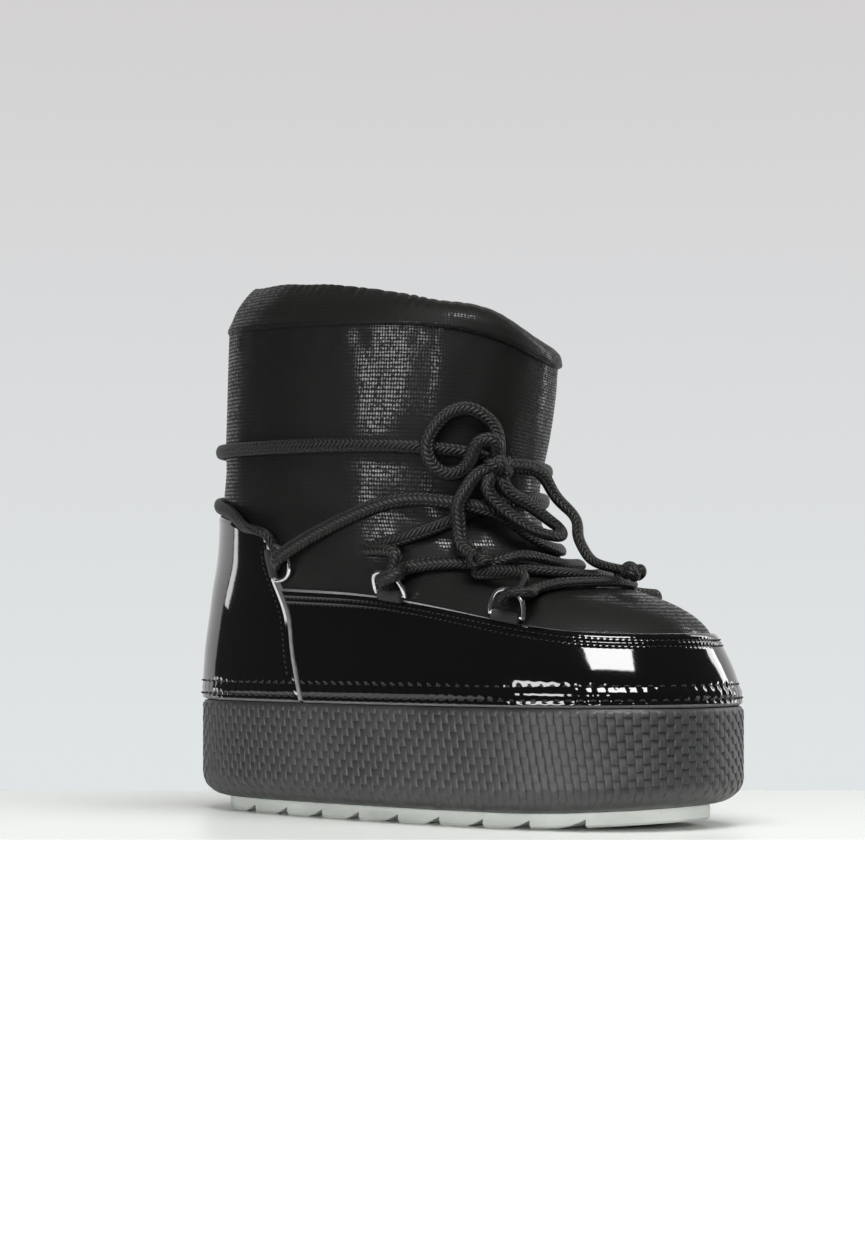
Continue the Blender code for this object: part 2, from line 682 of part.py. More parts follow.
def ring_frame(which, side):
    """The middle of a ring's bar, and its bar, reach and outward directions.

    The bar lies along the edge of the panel that holds the ring.
    """
    panel, place = RINGS[which][:2]
    sleeve = RING_WIRE / 2.0 + GAP + TAB_THICKNESS
    step = 0.03
    if panel == "counter":
        first = on_upper(place + step, side * edge_at(place + step))[0]
        last = on_upper(place - step, side * edge_at(place - step))[0]
        edge, normal = on_upper(place, side * edge_at(place), sleeve + GAP)
    else:
        behind, ahead = place + step, place - step
        first = on_upper(mudguard_top(behind), side * behind)[0]
        last = on_upper(mudguard_top(ahead), side * ahead)[0]
        edge, normal = on_upper(mudguard_top(place), side * place, sleeve + GAP)
    along = (last - first) / np.linalg.norm(last - first)
    reach = np.cross(along, normal) * side
    reach = reach / np.linalg.norm(reach)
    normal = np.cross(reach, along) * side
    return edge + reach * (sleeve + 1.4 * GAP), along, reach, normal


def make_ring(which, side, name):
    bar, along, reach, normal = ring_frame(which, side)
    plane = reach * math.cos(RING_TILT) + normal * math.sin(RING_TILT)
    half = (RING_WIDTH - RING_WIRE) / 2.0
    depth = RING_REACH - RING_WIRE / 2.0
    points = [bar - along * half, bar + along * half]
    for step in range(1, RING_ARC_STEPS + 1):
        angle = math.pi * step / (RING_ARC_STEPS + 1)
        across = half * 1.04 * math.copysign(abs(math.cos(angle)) ** 0.8, math.cos(angle))
        points.append(bar + along * across + plane * depth * math.sin(angle) ** 0.8)
    curve_tube(name, points, RING_WIRE / 2.0, SMALL_TUBE_STEPS, "metal", cyclic=True)


def make_tab(which, side, name):
    """Webbing folded round the ring's bar, flat where it meets the upper."""
    bar, along, reach, normal = ring_frame(which, side)
    inner_radius = RING_WIRE / 2.0 + GAP
    outer_radius = inner_radius + TAB_THICKNESS
    corners = {6: (-1.02, -0.40), 7: (-0.98, -1.00), 8: (-0.45, -1.00)}
    bm = bmesh.new()
    rings = []
    for end in (-0.5, 0.5):
        centre = bar + along * end * TAB_WIDTH
        inner, outer = [], []
        for step in range(TAB_STEPS):
            angle = 2.0 * math.pi * step / TAB_STEPS
            ray = reach * math.cos(angle) + normal * math.sin(angle)
            inner.append(bm.verts.new(centre + ray * inner_radius))
            if step in corners:
                forward, high = corners[step]
                offset = (reach * forward + normal * high) * outer_radius
            else:
                offset = ray * outer_radius
            outer.append(bm.verts.new(centre + offset))
        rings.append((inner, outer))
    (in_a, out_a), (in_b, out_b) = rings
    for j in range(TAB_STEPS):
        k = (j + 1) % TAB_STEPS
        bm.faces.new((in_a[j], in_a[k], out_a[k], out_a[j]))
        bm.faces.new((in_b[j], out_b[j], out_b[k], in_b[k]))
        bm.faces.new((out_a[j], out_a[k], out_b[k], out_b[j]))
        bm.faces.new((in_a[j], in_b[j], in_b[k], in_a[k]))
    new_object(name, finish_mesh(name, bm), "webbing", 50.0)


def route(rows):
    return [on_upper(up, around, lift)[0] for up, around, lift in rows]


def ring_turn(which, side):
    """The lace's points in a ring, from over its bow to under it."""
    bar, along, reach, normal = ring_frame(which, side)
    sleeve = RING_WIRE / 2.0 + TAB_THICKNESS + 2.0 * GAP
    base = bar - normal * sleeve + reach * RING_OPENING
    leans = {"over": math.radians(RINGS[which][2]), "under": math.radians(RINGS[which][3])}
    points = []
    for way, distance, lift in RING_TURN:
        lean = leans[way]
        points.append(
            base + (along * math.sin(lean) + reach * math.cos(lean)) * distance + normal * lift
        )
    return points


def lace_path():
    """The whole lace from the knot, through the six rings and back to it."""
    inner = ring_turn("front", 1) + route(FRONT_TO_MIDDLE_OUTER)
    inner += ring_turn("middle", -1) + route(MIDDLE_TO_REAR_INNER)
    inner += ring_turn("rear", 1)[::-1] + route(REAR_TO_KNOT_INNER)
    outer = ring_turn("front", -1) + route(FRONT_TO_MIDDLE_INNER)
    outer += ring_turn("middle", 1) + route(MIDDLE_TO_REAR_OUTER)
    outer += ring_turn("rear", -1)[::-1] + route(REAR_TO_KNOT_OUTER)
    return inner[::-1] + route(FRONT_BAR) + outer


def lace_samples(points):
    """Points on the smooth lace, closer together where it turns in a ring."""
    points = np.asarray(points)
    length = np.concatenate([[0.0], np.cumsum(np.linalg.norm(np.diff(points, axis=0), axis=1))])
    places = [0.0]
    for low, high in zip(length, length[1:]):
        count = max(1, round((high - low) / (2.1 * LACE)))
        places += [low + (high - low) * (k + 1) / count for k in range(count)]
    return spline_rows(length, points, places)


def knot_frame(place, half_sizes):
    """A knot's middle, its own three axes and its half sizes along them."""
    centre, normal = on_upper(*place)
    level = np.cross(np.array([0.0, 0.0, 1.0]), normal)
    level = level / np.linalg.norm(level)
    return centre, (level, normal, np.cross(level, normal)), half_sizes


def meeting(knot, row):
    """The point where a cord that comes from a row's place ends at a knot."""
    centre, axes, half_sizes = knot
    away = on_upper(*row)[0] - centre
    away = away / np.linalg.norm(away)
    shares = [away @ axis / size for axis, size in zip(axes, half_sizes)]
    return centre + away * (1.0 / np.linalg.norm(shares) + 1.5 * GAP)


def make_laces():
    curve_tube(
        "lace_crossings", lace_samples(lace_path()), LACE / 2.0, SMALL_TUBE_STEPS, "lace"
    )
    knot = knot_frame(KNOT_PLACE, KNOT_SIZE)
    outer_knot = knot_frame(END_OUTER_KNOT, END_KNOT_SIZE)
    inner_knot = knot_frame(END_INNER_KNOT, END_KNOT_SIZE)
    blob("lace_knot", *knot, "lace")
    blob("end_knot_outer", *outer_knot, "lace")
    blob("end_knot_inner", *inner_knot, "lace")
    cords = (
        ("lace_loop_outer", LOOP_OUTER, knot, 26),
        ("lace_loop_inner", LOOP_INNER, knot, 22),
        ("lace_end_outer", END_OUTER, outer_knot, 10),
        ("lace_end_inner", END_INNER, inner_knot, 16),
    )
    for name, rows, last, steps in cords:
        path = [meeting(knot, rows[0]), *route(rows), meeting(last, rows[-1])]
        curve_tube(name, smooth_path(path, steps), LACE / 2.0, CORD_TUBE_STEPS, "lace")


def make_rings():
    for side, word in ((-1, "outer"), (1, "inner")):
        for which in RINGS:
            make_ring(which, side, f"d_ring_{which}_{word}")
            make_tab(which, side, f"ring_tab_{which}_{word}")


for old in list(bpy.data.objects):
    bpy.data.objects.remove(old, do_unlink=True)
parts = bpy.data.collections.new("apres_ski_boot")
cutters = bpy.data.collections.new("cutters")
bpy.context.scene.collection.children.link(parts)
bpy.context.scene.collection.children.link(cutters)
make_outsole()
make_midsole()
make_insole()
make_upper()
make_mudguard()
make_heel_counter()
make_cuff()
make_rings()
make_laces()
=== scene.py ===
"""Looks of a right apres ski boot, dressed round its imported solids.

+X runs to the toe, +Y to the inner side and +Z up, with the origin on the
floor under the middle of the sole. Lengths are in metres.
"""

import json
import logging
import math
from dataclasses import dataclass, field
from enum import Enum
from typing import Callable, Sequence

import bpy
import numpy as np
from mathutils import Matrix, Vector

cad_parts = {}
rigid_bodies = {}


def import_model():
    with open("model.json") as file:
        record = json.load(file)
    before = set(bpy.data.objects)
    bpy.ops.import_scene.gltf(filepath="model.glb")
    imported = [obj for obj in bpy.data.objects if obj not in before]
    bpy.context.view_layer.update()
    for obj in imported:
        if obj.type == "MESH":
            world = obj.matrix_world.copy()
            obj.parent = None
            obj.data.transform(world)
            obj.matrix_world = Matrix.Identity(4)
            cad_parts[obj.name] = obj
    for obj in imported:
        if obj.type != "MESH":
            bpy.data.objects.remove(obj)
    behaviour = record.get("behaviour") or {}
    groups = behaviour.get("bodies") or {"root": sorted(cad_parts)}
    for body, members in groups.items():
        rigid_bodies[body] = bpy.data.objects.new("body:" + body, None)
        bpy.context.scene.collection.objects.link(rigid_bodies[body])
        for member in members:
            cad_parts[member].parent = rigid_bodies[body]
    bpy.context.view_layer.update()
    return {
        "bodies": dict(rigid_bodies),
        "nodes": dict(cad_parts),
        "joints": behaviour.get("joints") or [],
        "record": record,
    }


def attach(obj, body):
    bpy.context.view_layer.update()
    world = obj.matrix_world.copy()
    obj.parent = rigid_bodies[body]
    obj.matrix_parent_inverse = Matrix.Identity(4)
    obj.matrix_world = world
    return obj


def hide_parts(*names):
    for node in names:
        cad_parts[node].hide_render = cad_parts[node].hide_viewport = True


LOG = logging.getLogger("apres_ski_boot")
MM = 0.001
UP = np.array([0.0, 0.0, 1.0])
# Half of the shaft's girth, which turns a share around into metres
HALF_GIRTH = 0.215
# Sockets of a colour mix: both colours in, and the mixed colour out
MIX_FIRST, MIX_SECOND, MIX_OUT = 6, 7, 2
Row = tuple[float, float, float]
Table = tuple[tuple[float, float], ...]
Array = np.ndarray
Pair = tuple[Array, Array]
Piece = bpy.types.Object
Pieces = list[Piece]
Material = bpy.types.Material
Socket = bpy.types.NodeSocket

# The sole's outline, in the same columns as the sections
SOLE_SHAPE = {"widest_at": 0.713, "nose_power": 2.35, "heel_power": 2.80, "heel_width": 0.82}
# Sections of the upper from the feather edge to the collar seam. Heights are
# shares of the collar's height, lengths are shares of the sole's length, and
# the half width is a share of the ball width.
SECTION_COLUMNS = (
    "up", "front_up", "back", "front", "half_width", "widest_at",
    "heel_width", "nose_power", "heel_power", "swing", "dip",
)
SECTIONS = (
    (0.000, 0.000, -0.4910, 0.4930, 0.488, 0.715, 0.820, 2.35, 2.80, 0.0220, 0.00),
    (0.046, 0.047, -0.4908, 0.4850, 0.485, 0.712, 0.820, 2.34, 2.75, 0.0220, 0.00),
    (0.092, 0.096, -0.4892, 0.4755, 0.477, 0.705, 0.830, 2.30, 2.70, 0.0215, 0.00),
    (0.150, 0.151, -0.4875, 0.4625, 0.462, 0.690, 0.845, 2.25, 2.60, 0.0200, 0.00),
    (0.207, 0.204, -0.4830, 0.4480, 0.446, 0.660, 0.865, 2.20, 2.50, 0.0175, 0.00),
    (0.259, 0.252, -0.4765, 0.4130, 0.434, 0.620, 0.890, 2.12, 2.45, 0.0145, 0.00),
    (0.310, 0.296, -0.4680, 0.3450, 0.429, 0.580, 0.920, 2.05, 2.40, 0.0110, 0.00),
    (0.362, 0.337, -0.4575, 0.2560, 0.430, 0.550, 0.950, 2.00, 2.30, 0.0075, 0.00),
    (0.414, 0.382, -0.4490, 0.1960, 0.437, 0.530, 0.970, 2.00, 2.25, 0.0040, 0.00),
    (0.471, 0.437, -0.4430, 0.1640, 0.447, 0.515, 0.990, 2.00, 2.20, 0.0015, 0.00),
    (0.540, 0.509, -0.4405, 0.1440, 0.459, 0.505, 1.000, 2.05, 2.20, 0.0000, 0.02),
    (0.621, 0.605, -0.4365, 0.1410, 0.471, 0.500, 1.000, 2.10, 2.20, 0.0000, 0.10),
    (0.736, 0.729, -0.4310, 0.1530, 0.480, 0.500, 1.000, 2.15, 2.20, 0.0000, 0.35),
    (0.874, 0.889, -0.4255, 0.1655, 0.483, 0.500, 1.000, 2.20, 2.25, 0.0000, 0.70),
    (1.000, 1.000, -0.4225, 0.1715, 0.483, 0.500, 1.000, 2.20, 2.25, 0.0000, 1.00),
)


def spline_rows(knots: Sequence[float], rows: Array, at: Array) -> Array:
    """Read a natural cubic spline through rows of values.

    Args:
        knots: Places of the rows, rising.
        rows: Values at the knots, one row each.
        at: Places to read.

    Returns:
        One row of values for each place.
    """
    knots = np.asarray(knots, float)
    rows = np.asarray(rows, float)
    at = np.atleast_1d(np.asarray(at, float))
    count = len(knots)
    step = np.diff(knots)
    matrix = np.zeros((count, count))
    right = np.zeros(rows.shape)
    matrix[0, 0] = matrix[-1, -1] = 1.0
    for i in range(1, count - 1):
        matrix[i, i - 1:i + 2] = (step[i - 1], 2.0 * (step[i - 1] + step[i]), step[i])
        rise = (rows[i + 1] - rows[i]) / step[i] - (rows[i] - rows[i - 1]) / step[i - 1]
        right[i] = 6.0 * rise
    bend = np.linalg.solve(matrix, right)
    k = np.clip(np.searchsorted(knots, at) - 1, 0, count - 2)
    t = (at - knots[k])[:, None]
    h = step[k][:, None]
    slope = (rows[k + 1] - rows[k]) / h - h * (2.0 * bend[k] + bend[k + 1]) / 6.0
    return rows[k] + t * slope + t**2 * bend[k] / 2.0 + t**3 * (bend[k + 1] - bend[k]) / (6.0 * h)


def read_table(table: Table, at: Array) -> Array:
    """Read a two-column table smoothly between its rows."""
    places, values = zip(*table)
    at = np.asarray(at, float)
    inside = np.clip(at, places[0], places[-1]).ravel()
    rows = np.array(values)[:, None]
    return spline_rows(places, rows, inside)[:, 0].reshape(at.shape)


def egg_half(
    back: float, front: float, half_width: float, section: dict[str, float],
    side: int, swing: float, steps: int,
) -> Pair:
    """Trace one side of a rounded outline from its front to its back.

    Args:
        back: Where the outline ends at the heel.
        front: Where it ends at the toe.
        half_width: Half of its width.
        section: Shape values by column name.
        side: 1 for the inner side, -1 for the outer side.
        swing: How far the toe leans to the inner side.
        steps: Number of points.

    Returns:
        The points' x and y.
    """
    angle = np.linspace(0.0, math.pi, steps)
    cosine, sine = np.cos(angle), np.sin(angle)
    middle = back + section["widest_at"] * (front - back)
    reach = np.where(cosine > 0, front - middle, middle - back)
    power = np.where(cosine > 0, section["nose_power"], section["heel_power"])
    x = middle + reach * np.sign(cosine) * np.abs(cosine) ** (2.0 / power)
    y = half_width * np.abs(sine) ** (2.0 / power)
    rear = np.clip((middle - x) / (middle - back), 0.0, 1.0)
    y = y * (1.0 - (1.0 - section["heel_width"]) * rear * rear * (3.0 - 2.0 * rear))
    nose = np.clip((x - middle) / (front - middle), 0.0, 1.0)
    return x, side * y + swing * nose**2


def lengths_along(points: Array) -> Array:
    """Return the running length at each point of a line."""
    steps = np.linalg.norm(np.diff(points, axis=0), axis=1)
    return np.concatenate([[0.0], np.cumsum(steps)])


def fill_side(points: Array, arounds: Array, side: int, line: Array) -> None:
    """Fill in the points of one side of an outline.

    Args:
        points: The outline's points, changed in place.
        arounds: Their shares around, 0 at the toe and 1 or -1 at the heel.
        side: 1 for the inner side, -1 for the outer side.
        line: The side's line from the toe to the heel.
    """
    length = lengths_along(line)
    here = (arounds >= 0) if side > 0 else (arounds < 0)
    for axis in range(line.shape[1]):
        points[here, axis] = np.interp(
            np.abs(arounds[here]), length / length[-1], line[:, axis]
        )


def read_along(at: Array, run: Array, rows: Array) -> Array:
    """Return rows of three values at running lengths between known ones."""
    return np.column_stack([np.interp(at, run, rows[:, k]) for k in range(3)])


def shares_round(count: int) -> Array:
    """Return even shares around the boot, from heel to heel, with no end twice."""
    return np.linspace(-1.0, 1.0, count + 1)[:-1]


def unit(vectors: Array) -> Array:
    """Return the vectors at length one."""
    return vectors / np.maximum(np.linalg.norm(vectors, axis=-1, keepdims=True), 1e-12)


def smoothstep(values: Array, low: float, high: float) -> Array:
    """Ease from 0 at the low value to 1 at the high value."""
    t = np.clip((np.asarray(values, float) - low) / (high - low), 0.0, 1.0)
    return t * t * (3.0 - 2.0 * t)


def bell(values: Array, middle: float, width: float) -> Array:
    """Return a soft bump of height 1 round a middle."""
    return np.exp(-(((np.asarray(values, float) - middle) / width) ** 2))


@dataclass
class Last:
    """The form that the upper is pulled over.

    A place on it is an `up`, the share of the collar's height at the back, and
    an `around`, 0 at the toe and 1 or -1 at the heel, minus on the outer side.
    """

    sole_length: float = 0.280
    ball_width: float = 0.116
    sole_top: float = 0.052
    collar_back: float = 0.172
    collar_front: float = 0.166
    collar_dip: float = 0.015
    dip_middle: float = 0.07
    dip_spread: float = 0.185
    dip_spread_inner: float = 0.38
    gap: float = 0.0003
    levels: int = 160
    steps: int = 480
    points: Array = field(init=False)
    normals: Array = field(init=False)
    lengths: Array = field(init=False)

    def __post_init__(self) -> None:
        """Work out the form on a fine grid of places."""
        ups = np.linspace(0.0, 1.0, self.levels + 1)
        arounds = np.linspace(-1.0, 1.0, self.steps + 1)
        self.points = np.array([self.ring(up, arounds) for up in ups])
        rise = np.gradient(self.points, axis=0)
        run = np.gradient(self.points, axis=1)
        run[:, 0] = run[:, -1] = self.points[:, 1] - self.points[:, -2]
        self.normals = unit(np.cross(run, rise))
        steps = np.linalg.norm(np.diff(self.points, axis=1), axis=2)
        along = np.concatenate([np.zeros((len(ups), 1)), np.cumsum(steps, axis=1)], axis=1)
        quarter = self.steps // 4
        left = along - along[:, quarter:quarter + 1]
        right = along[:, 3 * quarter:3 * quarter + 1] - along
        self.lengths = np.where(arounds[None, :] < 0.0, left, right)

    def ring(self, up: float, arounds: Array) -> Array:
        """Return points of the upper's face at one level.

        Args:
            up: Share of the collar's height.
            arounds: Shares around.

        Returns:
            One point for each share around.
        """
        knots = [row[0] for row in SECTIONS]
        values = spline_rows(knots, [row[1:] for row in SECTIONS], up)[0]
        section = dict(zip(SECTION_COLUMNS[1:], values))
        back, front = section["back"] * self.sole_length, section["front"] * self.sole_length
        z_back = self.sole_top + self.gap + up * self.collar_back
        z_front = self.sole_top + self.gap + section["front_up"] * self.collar_front
        points = np.zeros((len(arounds), 3))
        for side in (1, -1):
            x, y = egg_half(
                back, front, section["half_width"] * self.ball_width, section, side,
                section["swing"] * self.sole_length, 400,
            )
            z = z_back + (z_front - z_back) * (x - back) / (front - back)
            fill_side(points, arounds, side, np.column_stack([x, y, z]))
        dip = section["dip"] * self.collar_dip
        away = arounds - self.dip_middle
        spread = np.where(away > 0, self.dip_spread_inner, self.dip_spread)
        points[:, 2] -= dip * bell(away, 0.0, spread)
        return points

    def read(self, grid: Array, up: Array, around: Array) -> Array:
        """Read one of the fine grids between its places.

        Args:
            grid: Points, normals or lengths.
            up: Shares of the height.
            around: Shares around.

        Returns:
            A value for each place.
        """
        up, around = np.broadcast_arrays(np.asarray(up, float), np.asarray(around, float))
        row = np.clip(up, 0.0, 1.0) * self.levels
        column = ((around + 1.0) % 2.0) / 2.0 * self.steps
        i = np.clip(row.astype(int), 0, self.levels - 1)
        j = np.clip(column.astype(int), 0, self.steps - 1)
        s, t = row - i, column - j
        if grid.ndim == 3:
            s, t = s[..., None], t[..., None]
        low = grid[i, j] * (1.0 - t) + grid[i, j + 1] * t
        high = grid[i + 1, j] * (1.0 - t) + grid[i + 1, j + 1] * t
        return low * (1.0 - s) + high * s

    def at(self, up: Array, around: Array, lift: Array = 0.0) -> Array:
        """Return points at a lift over the face."""
        lift = np.asarray(lift, float)[..., None]
        return self.read(self.points, up, around) + self.normal(up, around) * lift

    def normal(self, up: Array, around: Array) -> Array:
        """Return the outward directions of the face."""
        return unit(self.read(self.normals, up, around))

    def cloth_uv(self, up: Array, around: Array) -> Array:
        """Return metres along and up the cloth, measured from the boot's sides."""
        along = self.read(self.lengths, up, around)
        return np.stack([along, np.broadcast_to(up, along.shape) * self.collar_back], axis=-1)


class Patchwork:
    """Grids of points that are gathered into one mesh."""

    def __init__(self) -> None:
        """Start with no grid."""
        self.points: list[Array] = []
        self.faces: list[Array] = []
        self.uvs: list[Array] = []
        self.slots: list[Array] = []
        self.count = 0

    def grid(
        self, points: Array, uvs: Array, slot: int = 0,
        closed: bool = False, flip: bool = False,
    ) -> None:
        """Add a grid.

        Args:
            points: Rows of columns of points.
            uvs: The same, in metres on the material; one column more if closed.
            slot: Number of the material.
            closed: Whether the last column joins the first.
            flip: Whether the faces look the other way.
        """
        rows, columns = points.shape[:2]
        i, j = np.meshgrid(np.arange(rows - 1), np.arange(columns if closed else columns - 1),
                           indexing="ij")
        k = (j + 1) % columns
        corners = [(i, j, j), (i, k, j + 1), (i + 1, k, j + 1), (i + 1, j, j)]
        if flip:
            corners = corners[::-1]
        faces = np.stack([self.count + r * columns + c for r, c, _ in corners], axis=-1)
        coordinates = np.stack([uvs[r, c] for r, _, c in corners], axis=-2)
        self.points.append(points.reshape(-1, 3))
        self.faces.append(faces.reshape(-1, 4))
        self.uvs.append(coordinates.reshape(-1, 2))
        self.slots.append(np.full(faces.size // 4, slot))
        self.count += rows * columns

    def build(self, name: str, materials: Sequence[Material],
              sharp: float = 50.0) -> Piece:
        """Make the mesh and its object.

        Args:
            name: The piece's name.
            materials: One for each slot.
            sharp: Angle in degrees above which an edge stays sharp.

        Returns:
            The new object, in the scene.
        """
        points = np.concatenate(self.points)
        faces = np.concatenate(self.faces)
        mesh = bpy.data.meshes.new(name)
        mesh.vertices.add(len(points))
        mesh.vertices.foreach_set("co", points.astype(np.float32).ravel())
        mesh.loops.add(faces.size)
        mesh.loops.foreach_set("vertex_index", faces.astype(np.int32).ravel())
        mesh.polygons.add(len(faces))
        mesh.polygons.foreach_set("loop_start", np.arange(0, faces.size, 4, dtype=np.int32))
        layer = mesh.uv_layers.new(name="cloth")
        layer.uv.foreach_set("vector", np.concatenate(self.uvs).astype(np.float32).ravel())
        for material in materials:
            mesh.materials.append(material)
        mesh.polygons.foreach_set("material_index", np.concatenate(self.slots).astype(np.int32))
        mesh.update(calc_edges=True)
        mesh.validate()
        mesh.shade_smooth()
        mesh.set_sharp_from_angle(angle=math.radians(sharp))
        piece = bpy.data.objects.new(name, mesh)
        bpy.context.scene.collection.objects.link(piece)
        return piece


# A cord's round end: shares of its section's size and of its reach
CORD_END = ((0.80, 0.55), (0.45, 0.88), (0.02, 1.0))


def sweep(
    patches: Patchwork, points: Array, flats: Array, width: float,
    thickness: float, sides: int = 16, slot: int = 0, closed: bool = False,
) -> None:
    """Add an oval cord along a line.

    Args:
        patches: Mesh that takes it.
        points: The line's points.
        flats: Directions that the cord's flat side faces, one for each point.
        width: Size across the flat side.
        thickness: Size through it.
        sides: Number of sides.
        slot: Number of the material.
        closed: Whether the line is a loop.
    """
    if closed:
        along = unit(np.roll(points, -1, axis=0) - np.roll(points, 1, axis=0))
    else:
        along = unit(np.gradient(points, axis=0))
    flats = unit(flats - along * np.sum(flats * along, axis=1, keepdims=True))
    across = np.cross(flats, along)
    angle = 2.0 * math.pi * np.arange(sides) / sides
    ring = (
        across[:, None] * (width / 2.0 * np.cos(angle))[None, :, None]
        + flats[:, None] * (thickness / 2.0 * np.sin(angle))[None, :, None]
    )
    body = points[:, None] + ring
    run = lengths_along(points)
    if closed:
        body = np.concatenate([body, body[:1]])
        run = np.append(run, run[-1] + np.linalg.norm(points[0] - points[-1]))
    else:
        radius = min(width, thickness) / 2.0
        for share, reach in CORD_END:
            start = points[0] - along[0] * radius * reach + ring[0] * share
            end = points[-1] + along[-1] * radius * reach + ring[-1] * share
            body = np.concatenate([start[None], body, end[None]])
            run = np.concatenate([[run[0] - radius * 0.3], run, [run[-1] + radius * 0.3]])
    turn = np.linspace(0.0, 1.0, sides + 1)
    uvs = np.stack(np.broadcast_arrays(run[:, None], turn[None, :]), axis=-1)
    patches.grid(body, uvs, slot, closed=True)


class Shader:
    """A material under construction, with short ways to its nodes."""

    def __init__(self, name: str, colour: Row, roughness: float) -> None:
        """Start a material.

        Args:
            name: Its name.
            colour: Its base colour.
            roughness: Its base roughness.
        """
        self.material = bpy.data.materials.new(name)
        self.material.use_nodes = True
        self.nodes = self.material.node_tree.nodes
        self.surface = self.nodes["Principled BSDF"]
        self.set("Base Color", (*colour, 1.0))
        self.set("Roughness", roughness)

    def set(self, name: str, value: object) -> None:
        """Set one of the surface's own sockets to a value."""
        self.surface.inputs[name].default_value = value

    def link(self, source: Socket, target: Socket) -> None:
        """Join two sockets."""
        self.material.node_tree.links.new(source, target)

    def feed(self, source: Socket, name: str) -> None:
        """Drive one of the surface's sockets."""
        self.link(source, self.surface.inputs[name])

    def put(self, target: Socket, value: object) -> None:
        """Give a node's socket a link or a value."""
        if isinstance(value, Socket):
            self.link(value, target)
        else:
            target.default_value = value

    def cloth(self) -> tuple[Socket, Socket]:
        """Return metres along and across the material."""
        uv = self.nodes.new("ShaderNodeUVMap")
        uv.uv_map = "cloth"
        split = self.nodes.new("ShaderNodeSeparateXYZ")
        self.link(uv.outputs[0], split.inputs[0])
        return split.outputs[0], split.outputs[1]

    def place(self) -> Socket:
        """Return the place in the boot's own frame."""
        return self.nodes.new("ShaderNodeTexCoord").outputs["Object"]

    def math(self, operation: str, first: object, second: object = 0.0) -> Socket:
        """Return a sum of two values.

        Args:
            operation: Name of the sum.
            first: Link or number.
            second: Link or number.

        Returns:
            The result.
        """
        node = self.nodes.new("ShaderNodeMath")
        node.operation = operation
        self.put(node.inputs[0], first)
        self.put(node.inputs[1], second)
        return node.outputs[0]

    def wave(self, along: object, pitch: float, power: float = 1.0) -> Socket:
        """Return rounded ridges, 0 to 1, at a pitch."""
        turn = self.math("MULTIPLY", along, math.pi / pitch)
        height = self.math("ABSOLUTE", self.math("SINE", turn))
        return height if power == 1.0 else self.math("POWER", height, power)

    def noise(self, scale: float, detail: float = 2.0, at: Socket | None = None) -> Socket:
        """Return soft noise, 0 to 1, with a number of waves to the metre."""
        node = self.nodes.new("ShaderNodeTexNoise")
        node.inputs["Scale"].default_value = scale
        node.inputs["Detail"].default_value = detail
        self.link(at or self.place(), node.inputs["Vector"])
        return node.outputs["Fac"]

    def span(self, value: Socket, low: float, high: float, to_low: float, to_high: float) -> Socket:
        """Map a value from one range to another, held at its ends."""
        node = self.nodes.new("ShaderNodeMapRange")
        self.link(value, node.inputs["Value"])
        for name, number in (("From Min", low), ("From Max", high),
                             ("To Min", to_low), ("To Max", to_high)):
            node.inputs[name].default_value = number
        return node.outputs["Result"]

    def blend(self, share: Socket, first: Row, second: Row) -> Socket:
        """Return a colour between two."""
        node = self.nodes.new("ShaderNodeMix")
        node.data_type = "RGBA"
        self.link(share, node.inputs["Factor"])
        node.inputs[MIX_FIRST].default_value = (*first, 1.0)
        node.inputs[MIX_SECOND].default_value = (*second, 1.0)
        return node.outputs[MIX_OUT]

    def relief(self, height: Socket, depth: float, under: Socket | None = None) -> Socket:
        """Raise the surface by a height.

        Args:
            height: Height from 0 to 1.
            depth: What 1 means, in metres.
            under: Another relief below this one.

        Returns:
            The surface direction.
        """
        node = self.nodes.new("ShaderNodeBump")
        node.inputs["Strength"].default_value = 1.0
        node.inputs["Distance"].default_value = depth
        self.link(height, node.inputs["Height"])
        if under is not None:
            self.link(under, node.inputs["Normal"])
        return node.outputs[0]


@dataclass(frozen=True)
class CoatedWeave:
    """Black cloth whose yarns carry small glossy dots."""

    name: str = "coated_weave"
    gloss: float = 1.0
    colour: Row = (0.0054, 0.0051, 0.0045)
    # Painted shade for the hollows between the yarns and painted light for the raised yarns
    hollow_painted_shade: Row = (0.0036, 0.0034, 0.0029)
    raised: Row = (0.0072, 0.0069, 0.0060)
    yarn: float = 1.33 * MM
    row: float = 1.73 * MM
    depth: float = 0.06 * MM

    def make(self) -> Material:
        """Make the material."""
        shader = Shader(self.name, self.colour, 0.62)
        along, up = shader.cloth()
        yarns = shader.wave(along, self.yarn, 0.8)
        rows = shader.wave(up, self.row, 0.8)
        weave = shader.math("MULTIPLY", yarns, rows)
        wear = shader.noise(62.0, 3.0)
        fleck = shader.noise(700.0, 2.0)
        patchy = shader.math("MULTIPLY", weave, shader.span(fleck, 0.35, 0.60, 0.35, 1.0))
        dots = shader.span(patchy, 0.30, 0.75, 0.0, self.gloss)
        # Painted shade in the weave's hollows and painted light on the raised yarns: the colour
        # follows the weave's height
        shader.feed(shader.blend(weave, self.hollow_painted_shade, self.raised), "Base Color")
        shader.set("Specular IOR Level", 0.28)
        shader.feed(dots, "Coat Weight")
        shader.feed(shader.span(wear, 0.35, 0.65, 0.13, 0.22), "Coat Roughness")
        slack = shader.relief(wear, 0.20 * MM)
        shader.feed(shader.relief(weave, self.depth, slack), "Normal")
        shader.feed(slack, "Coat Normal")
        return shader.material


